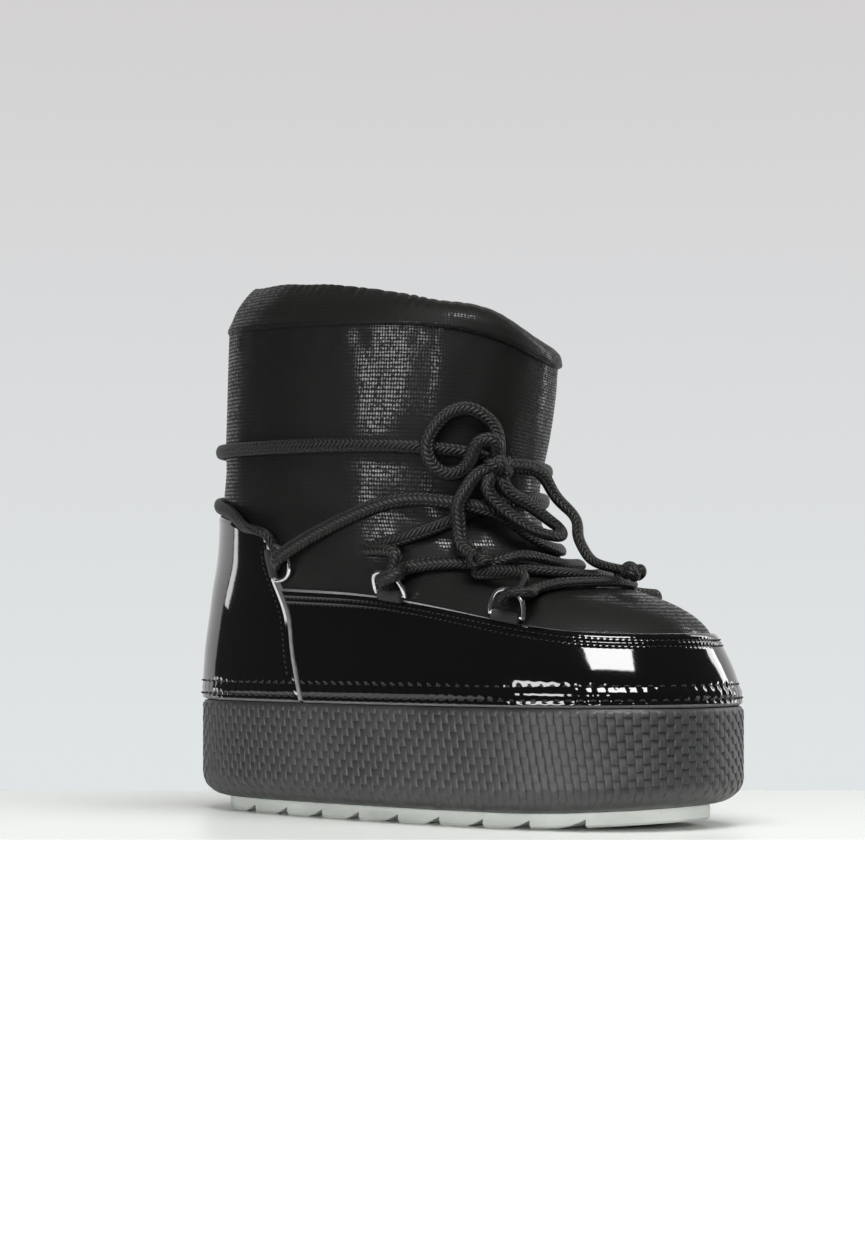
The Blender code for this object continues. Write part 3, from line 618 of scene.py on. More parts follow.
@dataclass(frozen=True)
class Grained:
    """Matt stuff with a fine grain between two colours: felt, fibre or paint."""

    name: str
    roughness: float
    waves: float
    detail: float
    dark: Row
    light: Row
    depth: float = 0.0
    sheen: float = 0.0

    def make(self) -> Material:
        """Make the material."""
        shader = Shader(self.name, self.dark, self.roughness)
        grain = shader.noise(self.waves, self.detail)
        shader.feed(shader.blend(grain, self.dark, self.light), "Base Color")
        if self.sheen:
            shader.set("Sheen Weight", self.sheen)
            shader.set("Sheen Roughness", 0.5)
        if self.depth:
            shader.feed(shader.relief(grain, self.depth), "Normal")
        return shader.material


@dataclass(frozen=True)
class Patent:
    """Black patent with a mirror gloss that is never quite flat."""

    colour: Row = (0.0022, 0.0022, 0.0024)

    def make(self) -> Material:
        """Make the material."""
        shader = Shader("patent", self.colour, 0.07)
        shader.set("Specular IOR Level", 0.62)
        shader.set("Coat Weight", 0.6)
        shader.set("Coat Roughness", 0.02)
        swell = shader.noise(38.0, 1.0)
        orange_peel = shader.noise(420.0, 1.0)
        normal = shader.relief(orange_peel, 0.012 * MM, shader.relief(swell, 0.25 * MM))
        shader.feed(normal, "Normal")
        return shader.material


@dataclass(frozen=True)
class MouldedRubber:
    """Foamed rubber of the sole."""

    name: str
    colour: Row
    roughness: float

    def make(self) -> Material:
        """Make the material."""
        shader = Shader(self.name, self.colour, self.roughness)
        grain = shader.noise(1500.0, 2.0)
        wear = shader.noise(30.0, 4.0)
        worn = tuple(1.35 * c for c in self.colour)
        share = shader.span(wear, 0.3, 0.7, 0.0, 1.0)
        shader.feed(shader.blend(share, self.colour, worn), "Base Color")
        rough = shader.span(wear, 0.3, 0.7, self.roughness - 0.05, self.roughness + 0.07)
        shader.feed(rough, "Roughness")
        shader.feed(shader.relief(grain, 0.05 * MM), "Normal")
        return shader.material


@dataclass(frozen=True)
class Braid:
    """Round-woven cord whose strands lie in slanting ribs."""

    name: str = "braided_cord"
    colour: Row = (0.0080, 0.0078, 0.0070)
    pitch: float = 2.3 * MM
    columns: int = 6
    depth: float = 0.48 * MM

    def make(self) -> Material:
        """Make the material."""
        shader = Shader(self.name, self.colour, 0.5)
        along, turn = shader.cloth()
        column = shader.math("MULTIPLY", turn, float(self.columns))
        within = shader.math("FRACT", column)
        parity = shader.math("MODULO", shader.math("FLOOR", column), 2.0)
        way = shader.math("SUBTRACT", shader.math("MULTIPLY", parity, 2.0), 1.0)
        slant = shader.math("MULTIPLY", shader.math("MULTIPLY", way, within), self.pitch)
        strand = shader.wave(shader.math("ADD", along, slant), self.pitch, 0.8)
        rib = shader.wave(within, 1.0, 0.5)
        height = shader.math("MULTIPLY", strand, rib)
        # Painted shade in the grooves between the strands and a painted highlight on their crests:
        # the colour follows the ribs' height
        dark = tuple(0.25 * c for c in self.colour)
        light = tuple(2.1 * c for c in self.colour)
        shader.feed(shader.blend(height, dark, light), "Base Color")
        fibre = shader.noise(2500.0, 2.0)
        shader.feed(shader.relief(height, self.depth, shader.relief(fibre, 0.08 * MM)), "Normal")
        return shader.material


@dataclass(frozen=True)
class PolishedWire:
    """Nickel-plated wire with fine rubbing marks."""

    def make(self) -> Material:
        """Make the material."""
        shader = Shader("polished_wire", (0.78, 0.78, 0.79), 0.14)
        shader.set("Metallic", 1.0)
        rub = shader.noise(600.0, 2.0)
        shader.feed(shader.span(rub, 0.3, 0.7, 0.10, 0.22), "Roughness")
        shader.feed(shader.relief(rub, 0.01 * MM), "Normal")
        return shader.material


@dataclass(frozen=True)
class Webbing:
    """Dark grey ribbed tape."""

    colour: Row = (0.020, 0.020, 0.021)

    def make(self) -> Material:
        """Make the material."""
        shader = Shader("webbing_tape", self.colour, 0.5)
        along, across = shader.cloth()
        rib = shader.wave(across, 0.8 * MM, 0.8)
        tooth = shader.wave(along, 0.5 * MM, 1.0)
        height = shader.math("ADD", rib, shader.math("MULTIPLY", tooth, 0.3))
        # Painted shade in the grooves between the ribs and painted light on their tops: the colour
        # follows the ribs
        shader.feed(shader.blend(rib, (0.008, 0.008, 0.008), (0.045, 0.045, 0.047)), "Base Color")
        shader.feed(shader.relief(height, 0.22 * MM), "Normal")
        return shader.material


@dataclass(frozen=True)
class Thread:
    """Waxed black sewing thread."""

    def make(self) -> Material:
        """Make the material."""
        shader = Shader("sewing_thread", (0.012, 0.012, 0.012), 0.38)
        along, turn = shader.cloth()
        twist = shader.wave(shader.math("ADD", along, shader.math("MULTIPLY", turn, 1.2 * MM)),
                            0.6 * MM)
        shader.feed(shader.relief(twist, 0.1 * MM), "Normal")
        return shader.material


FELT = Grained("lining_felt", 0.72, 500.0, 2.0, (0.010,) * 3, (0.020,) * 3, 0.25 * MM, 0.05)
RAW_EDGE = Grained("patent_cut_edge", 0.6, 700.0, 3.0, (0.16,) * 3, (0.44,) * 3, 0.15 * MM)
STAGE = Grained("plinth_top", 0.35, 12.0, 2.0, (0.8342, 0.8536, 0.8148), (0.86, 0.88, 0.84))


class Finish(Enum):
    """The boot's finishes, each with the record's slot that it belongs to."""

    WEAVE = (CoatedWeave(), "upper")
    COLLAR = (CoatedWeave("collar_weave", 0.7), "cuff")
    LINING = (FELT, "insole")
    PATENT = (Patent(), "patent")
    CUT_EDGE = (RAW_EDGE, "patent")
    MIDSOLE = (MouldedRubber("midsole_rubber", (0.051, 0.052, 0.052), 0.42), "midsole")
    OUTSOLE = (MouldedRubber("outsole_rubber", (0.88, 0.92, 0.87), 0.5), "outsole")
    BRAID = (Braid(), "lace")
    WIRE = (PolishedWire(), "metal")
    TAPE = (Webbing(), "webbing")
    THREAD = (Thread(), "patent")

    def material(self) -> Material:
        """Return the finish's material, made once."""
        if self not in _MADE:
            _MADE[self] = self.value[0].make()
        return _MADE[self]


_MADE: dict[Finish, Material] = {}


def seat(piece: Piece, finish: Finish, *nodes: str) -> Piece:
    """Tie a piece to the boot and report it.

    Args:
        piece: The piece.
        finish: Its main finish; not used.
        nodes: Solids that it stands for.

    Returns:
        The piece.
    """
    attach(piece, "root")
    if nodes:
        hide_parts(*nodes)
    if piece.type == "MESH":
        LOG.info("%s: %d faces", piece.name, len(piece.data.polygons))
    return piece


def finished(
    patches: Patchwork, name: str, finish: Finish, sharp: float, *nodes: str
) -> Piece:
    """Make a piece of one finish and tie it to the boot.

    Args:
        patches: Its grids.
        name: Its name.
        finish: Its finish.
        sharp: Angle in degrees above which an edge stays sharp.
        nodes: Solids that it stands for.

    Returns:
        The piece.
    """
    return seat(patches.build(name, [finish.material()], sharp), finish, *nodes)


@dataclass
class StitchRow:
    """A row of stitches along a line on the boot."""

    pitch: float
    length: float
    thread: float = 0.55 * MM
    slant: float = 0.0
    bow: float = 0.0
    shares: tuple[float, ...] = (-0.5, -0.42, -0.22, 0.0, 0.22, 0.42, 0.5)
    heights: tuple[float, ...] = (-0.9, 0.0, 0.55, 0.75, 0.55, 0.0, -0.9)
    widths: tuple[float, ...] = (0.3, 0.8, 1.0, 1.0, 1.0, 0.8, 0.3)
    probe: float = 0.2 * MM

    def sew(self, patches: Patchwork, line: Array, normals: Array) -> None:
        """Add the row's stitches.

        Args:
            patches: Mesh that takes them.
            line: Points of the row, on the surface.
            normals: Outward directions there.
        """
        run = lengths_along(line)
        count = max(1, int(run[-1] / self.pitch))
        at = (np.arange(count) + 0.5) * run[-1] / count
        centre = read_along(at, run, line)
        out = unit(read_along(at, run, normals))
        ahead = read_along(at + self.probe, run, line)
        behind = read_along(at - self.probe, run, line)
        along = unit(ahead - behind)
        across = np.cross(out, along)
        lean = math.radians(self.slant)
        heading = along * math.cos(lean) + across * math.sin(lean)
        shares = np.array(self.shares)
        heights = np.array(self.heights) * self.thread
        widths = np.array(self.widths) * self.thread / 2.0
        side = np.cross(out, heading)
        angle = 2.0 * math.pi * np.arange(6) / 6
        for k in range(count):
            spine = (
                centre[k] + heading[k] * (shares * self.length)[:, None]
                + out[k] * heights[:, None]
                + side[k] * (self.bow * (1.0 - 4.0 * shares**2))[:, None]
            )
            body = (
                spine[:, None]
                + side[k] * (widths[:, None] * np.cos(angle))[..., None]
                + out[k] * (widths[:, None] * np.sin(angle))[..., None]
            )
            run_k = shares * self.length + at[k]
            uvs = np.stack(np.broadcast_arrays(run_k[:, None], np.linspace(0, 1, 7)[None]), -1)
            patches.grid(body, uvs, closed=True)


@dataclass
class Crease:
    """A soft fold pressed into the cloth."""

    up: float
    around: float
    length: float
    width: float
    turn: float
    depth: float


@dataclass
class Upper:
    """The cloth shaft and vamp, with the lining behind it."""

    last: Last
    wall: float = 3.0 * MM
    creases: tuple[Crease, ...] = (
        Crease(0.80, -0.46, 0.050, 0.0085, 84.0, -0.35),
        Crease(0.86, -0.355, 0.034, 0.0060, 72.0, -0.40),
        Crease(0.78, -0.31, 0.044, 0.0065, 98.0, 0.35),
        Crease(0.84, -0.17, 0.036, 0.0070, 97.0, -0.7),
        Crease(0.72, -0.66, 0.046, 0.0090, 92.0, -0.45),
        Crease(0.66, -0.40, 0.060, 0.0060, 4.0, -0.8),
        Crease(0.60, -0.43, 0.034, 0.0080, 14.0, -1.2),
        Crease(0.56, -0.35, 0.036, 0.0070, 22.0, 0.9),
        Crease(0.52, -0.28, 0.040, 0.0060, 28.0, -1.0),
        Crease(0.50, -0.52, 0.040, 0.0080, 8.0, -0.8),
        Crease(0.46, -0.16, 0.030, 0.0060, 18.0, -0.8),
        Crease(0.42, -0.06, 0.034, 0.0065, 4.0, 0.5),
        Crease(0.78, 0.30, 0.050, 0.0080, 86.0, -1.1),
        Crease(0.80, 0.46, 0.050, 0.0080, 94.0, -1.0),
        Crease(0.76, 0.56, 0.046, 0.0085, 90.0, 0.6),
        Crease(0.58, 0.40, 0.036, 0.0080, -16.0, -1.0),
        Crease(0.51, 0.28, 0.040, 0.0065, -24.0, -0.9),
        Crease(0.62, 0.86, 0.030, 0.0090, 8.0, -0.9),
        Crease(0.62, -0.86, 0.030, 0.0090, -8.0, -0.9),
    )

    def folds(self, up: Array, around: Array) -> Array:
        """Return the height that the creases and the slack under the seam add."""
        total = np.zeros(np.broadcast(up, around).shape)
        for crease in self.creases:
            gap = (around - crease.around + 1.0) % 2.0 - 1.0
            x = gap * HALF_GIRTH * (-1.0 if crease.around < 0 else 1.0)
            z = (up - crease.up) * self.last.collar_back
            turn = math.radians(crease.turn)
            along = x * math.cos(turn) + z * math.sin(turn)
            across = -x * math.sin(turn) + z * math.cos(turn)
            total += crease.depth * MM * np.exp(
                -((2.0 * along / crease.length) ** 2) - (across / crease.width) ** 2
            )
        slack = np.sin(around * 61.0 + 3.0 * up) + np.sin(around * 97.0 - 2.0 * up + 1.0)
        total += 0.16 * MM * slack * smoothstep(up, 0.90, 1.0)
        total *= smoothstep(up, 0.30, 0.42) * (1.0 - 0.75 * smoothstep(up, 0.97, 1.0))
        return total

    def build(self) -> Piece:
        """Build the cloth and its lining."""
        patches = Patchwork()
        ups = np.concatenate([np.linspace(0.0, 0.28, 22), np.linspace(0.285, 1.0, 120)])
        arounds = np.linspace(-1.0, 1.0, 401)
        up, around = np.meshgrid(ups, arounds, indexing="ij")
        face = self.last.at(up, around, self.folds(up, around))
        patches.grid(face[:, :-1], self.last.cloth_uv(up, around), closed=True)
        back = self.last.at(up[::3], around[::3], -self.wall)[:, :-1:4]
        uvs = self.last.cloth_uv(up[::3], around[::3])[:, ::4]
        patches.grid(back, uvs, slot=1, closed=True, flip=True)
        for row, flip in ((0, True), (-1, False)):
            rim = np.stack([face[row, :-1:4], back[row]])
            patches.grid(rim, np.stack([uvs[row], uvs[row]]), slot=1, closed=True, flip=flip)
        piece = patches.build("upper_cloth", [Finish.WEAVE.material(), Finish.LINING.material()])
        return seat(piece, Finish.WEAVE, "upper")


@dataclass
class SoleForm:
    """Outline and side of the platform."""

    length: float = 0.280
    ball_width: float = 0.116
    top: float = 0.052
    outsole: float = 0.0066
    spring: float = 0.0045
    spring_start: float = 0.19
    waist_depth: float = 0.003
    waist_place: float = -0.08
    waist_spread: float = 0.13
    under_inset: float = 0.0125
    rounding: float = 0.25
    swing: float = 0.0222
    top_ease: float = 0.0009

    def outline(self, inset: float, arounds: Array) -> Array:
        """Return x and y of the outline at shares around it.

        Args:
            inset: How far the outline is drawn in.
            arounds: Shares, 0 at the toe and 1 or -1 at the heel.

        Returns:
            One point for each share.
        """
        half, width = self.length / 2.0 - inset, self.ball_width / 2.0 - inset
        points = np.zeros((len(arounds), 2))
        for side in (1, -1):
            swing = self.swing * self.length
            x, y = egg_half(-half, half, width, SOLE_SHAPE, side, swing, 800)
            if side > 0:
                waist = (x / self.length - self.waist_place) / self.waist_spread
                y = y - self.waist_depth * np.exp(-(waist**2))
            fill_side(points, arounds, side, np.column_stack([x, y]))
        return points

    def tread(self, x: Array) -> Array:
        """Return the tread's height over the floor along the sole."""
        start = self.spring_start * self.length
        rise = np.maximum(0.0, (x - start) / (self.length / 2.0 - start))
        return self.spring * rise * rise

    def side_inset(self, share: Array) -> Array:
        """Return how far the side is drawn in at a share of its height."""
        lean = np.clip(1.0 - share / self.rounding, 0.0, 1.0)
        under = self.under_inset * (1.0 - np.sqrt(1.0 - lean**2))
        return under + self.top_ease * smoothstep(share, 0.965, 1.0)


@dataclass
class Midsole:
    """The charcoal platform with its woven brick relief."""

    form: SoleForm
    brick_width: float = 3.76 * MM
    half_rows: int = 13
    relief: float = 0.85 * MM
    slant: float = 11.0
    across_brick: tuple[float, ...] = (0.02, 0.14, 0.36, 0.64, 0.86, 0.98)
    down_brick: tuple[float, ...] = (0.02, 0.25, 0.5, 0.75, 0.98)

    def bricks(self, perimeter: float) -> tuple[Array, Array, Array]:
        """Lay out the woven bricks.

        Args:
            perimeter: Length of the platform's outline.

        Returns:
            Shares around for each point, the rows' shares of the side's height
            and the relief at each point in metres.
        """
        count = 2 * round(perimeter / self.brick_width / 2.0)
        column = (np.arange(count)[:, None] + np.array(self.across_brick)[None]).ravel()
        steps = np.array(self.down_brick)
        down = (np.arange(self.half_rows)[:, None] + steps[None]).ravel() / self.half_rows
        down = np.concatenate([[0.0], down, [1.0]])[::-1]
        share = 1.0 - down
        around = 2.0 * column / count - 1.0
        toward_toe = -np.sign(around) * smoothstep(np.abs(around), 0.06, 0.30)
        toward_toe *= 1.0 - smoothstep(np.abs(around), 0.88, 1.0)
        height = self.form.top - self.form.outsole
        shift = math.tan(math.radians(self.slant)) * height * 2.0 / perimeter
        arounds = around[None] + shift * toward_toe[None] * down[:, None]
        brick = (down[:, None] * self.half_rows + (np.floor(column) % 2)[None]) / 2.0
        pillow = 1.0 - 0.6 * np.abs(2.0 * (column - np.floor(column)) - 1.0) ** 10
        lean = 0.15 + 0.85 * smoothstep(brick - np.floor(brick), 0.0, 0.7)
        fade = smoothstep(share, 0.02, 0.12) * (1.0 - smoothstep(share, 0.955, 0.975))
        return arounds, share, self.relief * (pillow[None] * lean - 0.6) * fade[:, None]

    def build(self) -> Piece:
        """Build the platform."""
        patches = Patchwork()
        ring = self.form.outline(0.0, np.linspace(-1.0, 1.0, 2001))
        perimeter = lengths_along(ring)[-1]
        arounds, share, raised = self.bricks(perimeter)
        face = np.zeros((*arounds.shape, 3))
        flat = np.zeros((*arounds.shape, 2))
        inset = self.form.side_inset(share)
        for i in range(len(share)):
            at = (arounds[i] + 1.0) % 2.0 - 1.0
            xy = self.form.outline(inset[i], at)
            ahead = self.form.outline(inset[i], (at + 1.002) % 2.0 - 1.0)
            out = unit(np.column_stack([(ahead - xy)[:, 1], -(ahead - xy)[:, 0]]))
            low = self.form.outsole + self.form.tread(xy[:, 0])
            face[i, :, :2] = xy + out * raised[i][:, None]
            face[i, :, 2] = low + share[i] * (self.form.top - low)
            flat[i] = np.column_stack([arounds[i] * perimeter / 2.0, face[i, :, 2]])
        uvs = np.concatenate([flat, flat[:, :1] + np.array([perimeter, 0.0])], axis=1)
        patches.grid(face, uvs, closed=True)
        self.rim(patches, face[0], -1.0, self.form.under_inset + 0.020)
        self.rim(patches, face[-1], 1.0, self.form.under_inset + 0.004)
        return finished(patches, "platform_midsole", Finish.MIDSOLE, 60.0, "midsole")

    def rim(self, patches: Patchwork, edge: Array, way: float, inset: float) -> None:
        """Close the platform from an edge inwards.

        Args:
            patches: Mesh that takes it.
            edge: The edge's points.
            way: 1 for the top and -1 for the underside.
            inset: How far in it goes.
        """
        arounds = shares_round(len(edge))
        inner = np.column_stack([self.form.outline(inset, arounds), edge[:, 2]])
        strip = np.stack([edge, inner])
        uvs = np.stack([strip[..., 0], strip[..., 1]], axis=-1)
        uvs = np.concatenate([uvs, uvs[:, :1]], axis=1)
        patches.grid(strip, uvs, closed=True, flip=way < 0)


@dataclass
class Insole:
    """The felt foot bed, dished a little under the heel."""

    form: SoleForm
    inset: float = 8.8 * MM
    level: float = 51.2 * MM
    spine: float = 0.86
    heel_at: float = -0.085
    heel_spread: float = 0.045
    heel_dish: float = 1.3 * MM
    edge_drop: float = 0.8 * MM

    def build(self) -> Piece:
        """Build the foot bed."""
        patches = Patchwork()
        arounds = shares_round(200)
        shares = np.array([1.0, 0.985, 0.95, 0.85, 0.7, 0.5, 0.3, 0.12, 0.01])
        edge = self.form.outline(self.inset, arounds)
        spine = np.column_stack([edge[:, 0] * self.spine, np.zeros(len(edge))])
        rows = []
        for share in shares:
            xy = spine + (edge - spine) * share
            heel = bell(xy[:, 0], self.heel_at, self.heel_spread) * (1.0 - share**4)
            z = self.level - self.heel_dish * heel - self.edge_drop * (share > 0.99)
            rows.append(np.column_stack([xy, z]))
        grid = np.array(rows)
        uvs = np.concatenate([grid[..., :2], grid[:, :1, :2]], axis=1)
        patches.grid(grid, uvs, closed=True)
        return finished(patches, "felt_foot_bed", Finish.LINING, 50.0, "insole")


@dataclass
class Outsole:
    """The pale tread under the platform."""

    node: Piece

    def dress(self) -> None:
        """Give the solid its rubber."""
        self.node.data.materials.clear()
        self.node.data.materials.append(Finish.OUTSOLE.material())
        LOG.info("%s: dressed", self.node.name)


@dataclass
class PatentPanels:
    """The mudguard and the heel counter, with their cut edges and stitches."""

    last: Last
    mudguard_thickness: float = 1.9 * MM
    counter_thickness: float = 2.5 * MM
    clear: float = 0.0026
    chamfer: float = 0.9 * MM
    cut_share: float = 0.35
    top_rows: tuple[float, float] = (3.2 * MM, 6.0 * MM)
    top_pitch: float = 2.7 * MM
    base_rows: tuple[float, float] = (2.7 * MM, 8.6 * MM)
    base_pitch: float = 5.2 * MM
    front_row: float = 2.6 * MM
    mudguard_top: Table = (
        (0.00, 0.188), (0.12, 0.186), (0.18, 0.190), (0.25, 0.205), (0.32, 0.231),
        (0.39, 0.259), (0.47, 0.283), (0.57, 0.297), (0.67, 0.303), (0.70, 0.305),
    )
    counter_edge: Table = (
        (0.000, 0.672), (0.140, 0.688), (0.280, 0.688), (0.360, 0.666), (0.425, 0.640),
        (0.440, 0.634),
    )
    counter_top: Table = ((0.640, 0.428), (0.720, 0.470), (0.820, 0.500), (1.000, 0.510))

    def rows(self, top: Array) -> tuple[Array, Array, Array]:
        """Lay rows closely at a panel's lower and top edges.

        Args:
            top: Height of the top edge at each column, as a share.

        Returns:
            The rows' heights as shares, and their distances in metres from the
            lower and the top edge.
        """
        tall = top * self.last.collar_back
        low = np.concatenate([[1.0], np.arange(1.2, 12.1, 0.6)]) * MM
        high = np.arange(8.4, -0.1, -0.6) * MM
        middle = np.linspace(0.0, 1.0, 20)[1:-1]
        parts = [low[:, None] + 0.0 * tall, None, tall - high[:, None]]
        parts[1] = parts[0][-1] + middle[:, None] * (parts[2][0] - parts[0][-1])
        above = np.concatenate(parts)
        return above / self.last.collar_back, above, tall - above

    def puckers(self, above: Array, below: Array, run: Array,
                toe: Array) -> Array:
        """Return how the stitches draw the patent in, in metres.

        Args:
            above: Distance from the lower edge.
            below: Distance from the top edge.
            run: Running length along the panel.
            toe: 0 at the side to 1 at the toe, where the puckers are deepest.
        """
        depth = 0.0
        swell = np.abs(np.sin(math.pi * run / self.base_pitch))
        for place in self.base_rows:
            row = bell(above, place, 1.25 * MM)
            depth = depth - row * (0.16 + (0.20 + 0.35 * toe) * (1.0 - swell)) * MM
        between = bell(above, sum(self.base_rows) / 2.0, 1.7 * MM)
        wander = 0.6 + 0.4 * np.sin(run * 210.0 + 2.0 * np.sin(run * 57.0))
        depth = depth + between * (0.16 + (0.14 + 0.25 * toe) * swell * wander) * MM
        fine = np.abs(np.sin(math.pi * run / self.top_pitch))
        for place in self.top_rows:
            row = bell(below, place, 0.75 * MM)
            depth = depth - row * (0.22 + (0.12 + 0.20 * toe) * (1.0 - fine)) * MM
        lip = bell(below, sum(self.top_rows) / 2.0, 1.0 * MM)
        return depth + lip * (0.08 + 0.16 * toe * fine) * MM

    def panel(
        self, name: str, around: Callable[[Array, Array], Array],
        top: Callable[[Array], Array], columns: int, thickness: float,
        top_rows: bool, node: str,
    ) -> Piece:
        """Build one panel.

        Args:
            name: The piece's name.
            around: Share around for a place from -1 to 1 along it and a height.
            top: Height of its top edge at a share around.
            columns: Number of columns.
            thickness: How far it stands off the cloth.
            top_rows: Whether it has the two fine rows under its top edge.
            node: The solid that it stands for.

        Returns:
            The panel.
        """
        patches = Patchwork()
        t = np.linspace(-1.0, 1.0, columns)
        shares = around(t, np.full(columns, 0.2))
        up, above, below = self.rows(top(shares))
        at = around(np.broadcast_to(t, up.shape), up)
        base = self.last.at(np.full(columns, 0.03), at[0])
        run = lengths_along(base)
        run = run - run[columns // 2]
        toe = 1.0 - smoothstep(np.abs(shares), 0.05, 0.32)
        sewn = below if top_rows else np.ones_like(below)
        drawn = self.puckers(above, sewn, run[None], toe[None])
        end = (1.0 - np.abs(t)) * (run[-1] - run[0]) / 2.0
        edge = np.minimum(np.minimum(above, below), end[None])
        soft = smoothstep(edge, -0.2 * MM, 1.6 * MM)
        lift = thickness * (0.72 + 0.28 * soft) + drawn * smoothstep(edge, 0.0, 1.5 * MM)
        crown = 0.5 * MM * np.sin(math.pi * np.clip(above / (above + below), 0.0, 1.0))
        face = self.last.at(up, at, self.last.gap + lift + crown)
        uvs = np.stack([np.broadcast_to(run, up.shape), above], axis=-1)
        patches.grid(face, uvs)
        self.edges(patches, face, up, at, uvs)
        piece = patches.build(name, [Finish.PATENT.material(), Finish.CUT_EDGE.material()], 40.0)
        return seat(piece, Finish.PATENT, node)

    def edges(self, patches: Patchwork, face: Array, up: Array, at: Array,
              uvs: Array) -> None:
        """Close a panel with its pale cut edges.

        Args:
            patches: The panel's mesh.
            face: Its outer face.
            up: Heights of the face.
            at: Shares around of the face.
            uvs: Metres on the material.
        """
        spread = self.chamfer / self.last.collar_back
        turn = self.chamfer / HALF_GIRTH
        sides = (
            (face[-1], up[-1] + spread, at[-1], uvs[-1], False),
            (face[0], np.maximum(up[0] - spread, 0.0), at[0], uvs[0], True),
            (face[:, -1], up[:, -1], at[:, -1] + turn, uvs[:, -1], True),
            (face[:, 0], up[:, 0], at[:, 0] - turn, uvs[:, 0], False),
        )
        for line, level, share, coordinates, flip in sides:
            foot = self.last.at(np.clip(level, 0.0, 1.0), share, 0.1 * MM)
            middle = line * self.cut_share + foot * (1.0 - self.cut_share)
            strip = np.stack([line, middle, foot])
            patches.grid(strip, np.stack([coordinates] * 3), slot=1, flip=flip)

    def mudguard_around(self, t: Array, up: Array) -> Array:
        """Return shares around the toe for places along the mudguard."""
        return t * (read_table(self.counter_edge, up) - self.clear)

    def counter_around(self, t: Array, up: Array) -> Array:
        """Return shares around the heel for places along the counter."""
        return 1.0 + t * (1.0 - read_table(self.counter_edge, up) - self.clear)

    def counter_height(self, around: Array) -> Array:
        """Return the counter's top edge at shares around."""
        return read_table(self.counter_top, 1.0 - np.abs(around - 1.0))

    def mudguard_height(self, around: Array) -> Array:
        """Return the mudguard's top edge at shares around."""
        return read_table(self.mudguard_top, np.abs(around))

    def build(self) -> Pieces:
        """Build both panels and their stitches."""
        guard = self.panel("patent_mudguard", self.mudguard_around, self.mudguard_height, 760,
                           self.mudguard_thickness, True, "mudguard")
        counter = self.panel("patent_counter", self.counter_around, self.counter_height, 420,
                             self.counter_thickness, False, "heel_counter")
        return [guard, counter, self.stitches()]

    def line(self, ups: Array, arounds: Array, lift: float) -> Pair:
        """Return a stitch row's points and the outward directions there."""
        return self.last.at(ups, arounds, lift), self.last.normal(ups, arounds)

    def stitches(self) -> Piece:
        """Sew the heavy rows round the base and the fine ones at the edges."""
        patches = Patchwork()
        tall = self.last.collar_back
        heavy = StitchRow(self.base_pitch, 3.7 * MM, 0.95 * MM, 0.0, 0.35 * MM)
        fine = StitchRow(self.top_pitch, 1.9 * MM, 0.6 * MM, 8.0)
        slanted = StitchRow(2.6 * MM, 2.3 * MM, 0.65 * MM, 24.0)
        t = np.linspace(-0.995, 0.995, 700)
        for place in self.base_rows:
            ups = np.full(t.shape, place / tall)
            lift = self.last.gap + self.mudguard_thickness - 0.45 * MM
            heavy.sew(patches, *self.line(ups, self.mudguard_around(t, ups), lift))
            lift = self.last.gap + self.counter_thickness - 0.45 * MM
            heavy.sew(patches, *self.line(ups, self.counter_around(t, ups), lift))
        for place in self.top_rows:
            shares = self.mudguard_around(t, np.full(t.shape, 0.29))
            ups = self.mudguard_height(shares) - place / tall
            lift = self.last.gap + self.mudguard_thickness - 0.05 * MM
            fine.sew(patches, *self.line(ups, shares, lift))
        for side in (-1.0, 1.0):
            ups = np.linspace(0.07, 0.425, 120)
            shares = self.counter_around(side * np.ones(ups.shape), ups)
            shares = shares - side * self.front_row / HALF_GIRTH
            lift = self.last.gap + self.counter_thickness - 0.05 * MM
            slanted.sew(patches, *self.line(ups, shares, lift))
        return finished(patches, "panel_stitches", Finish.THREAD, 80.0)


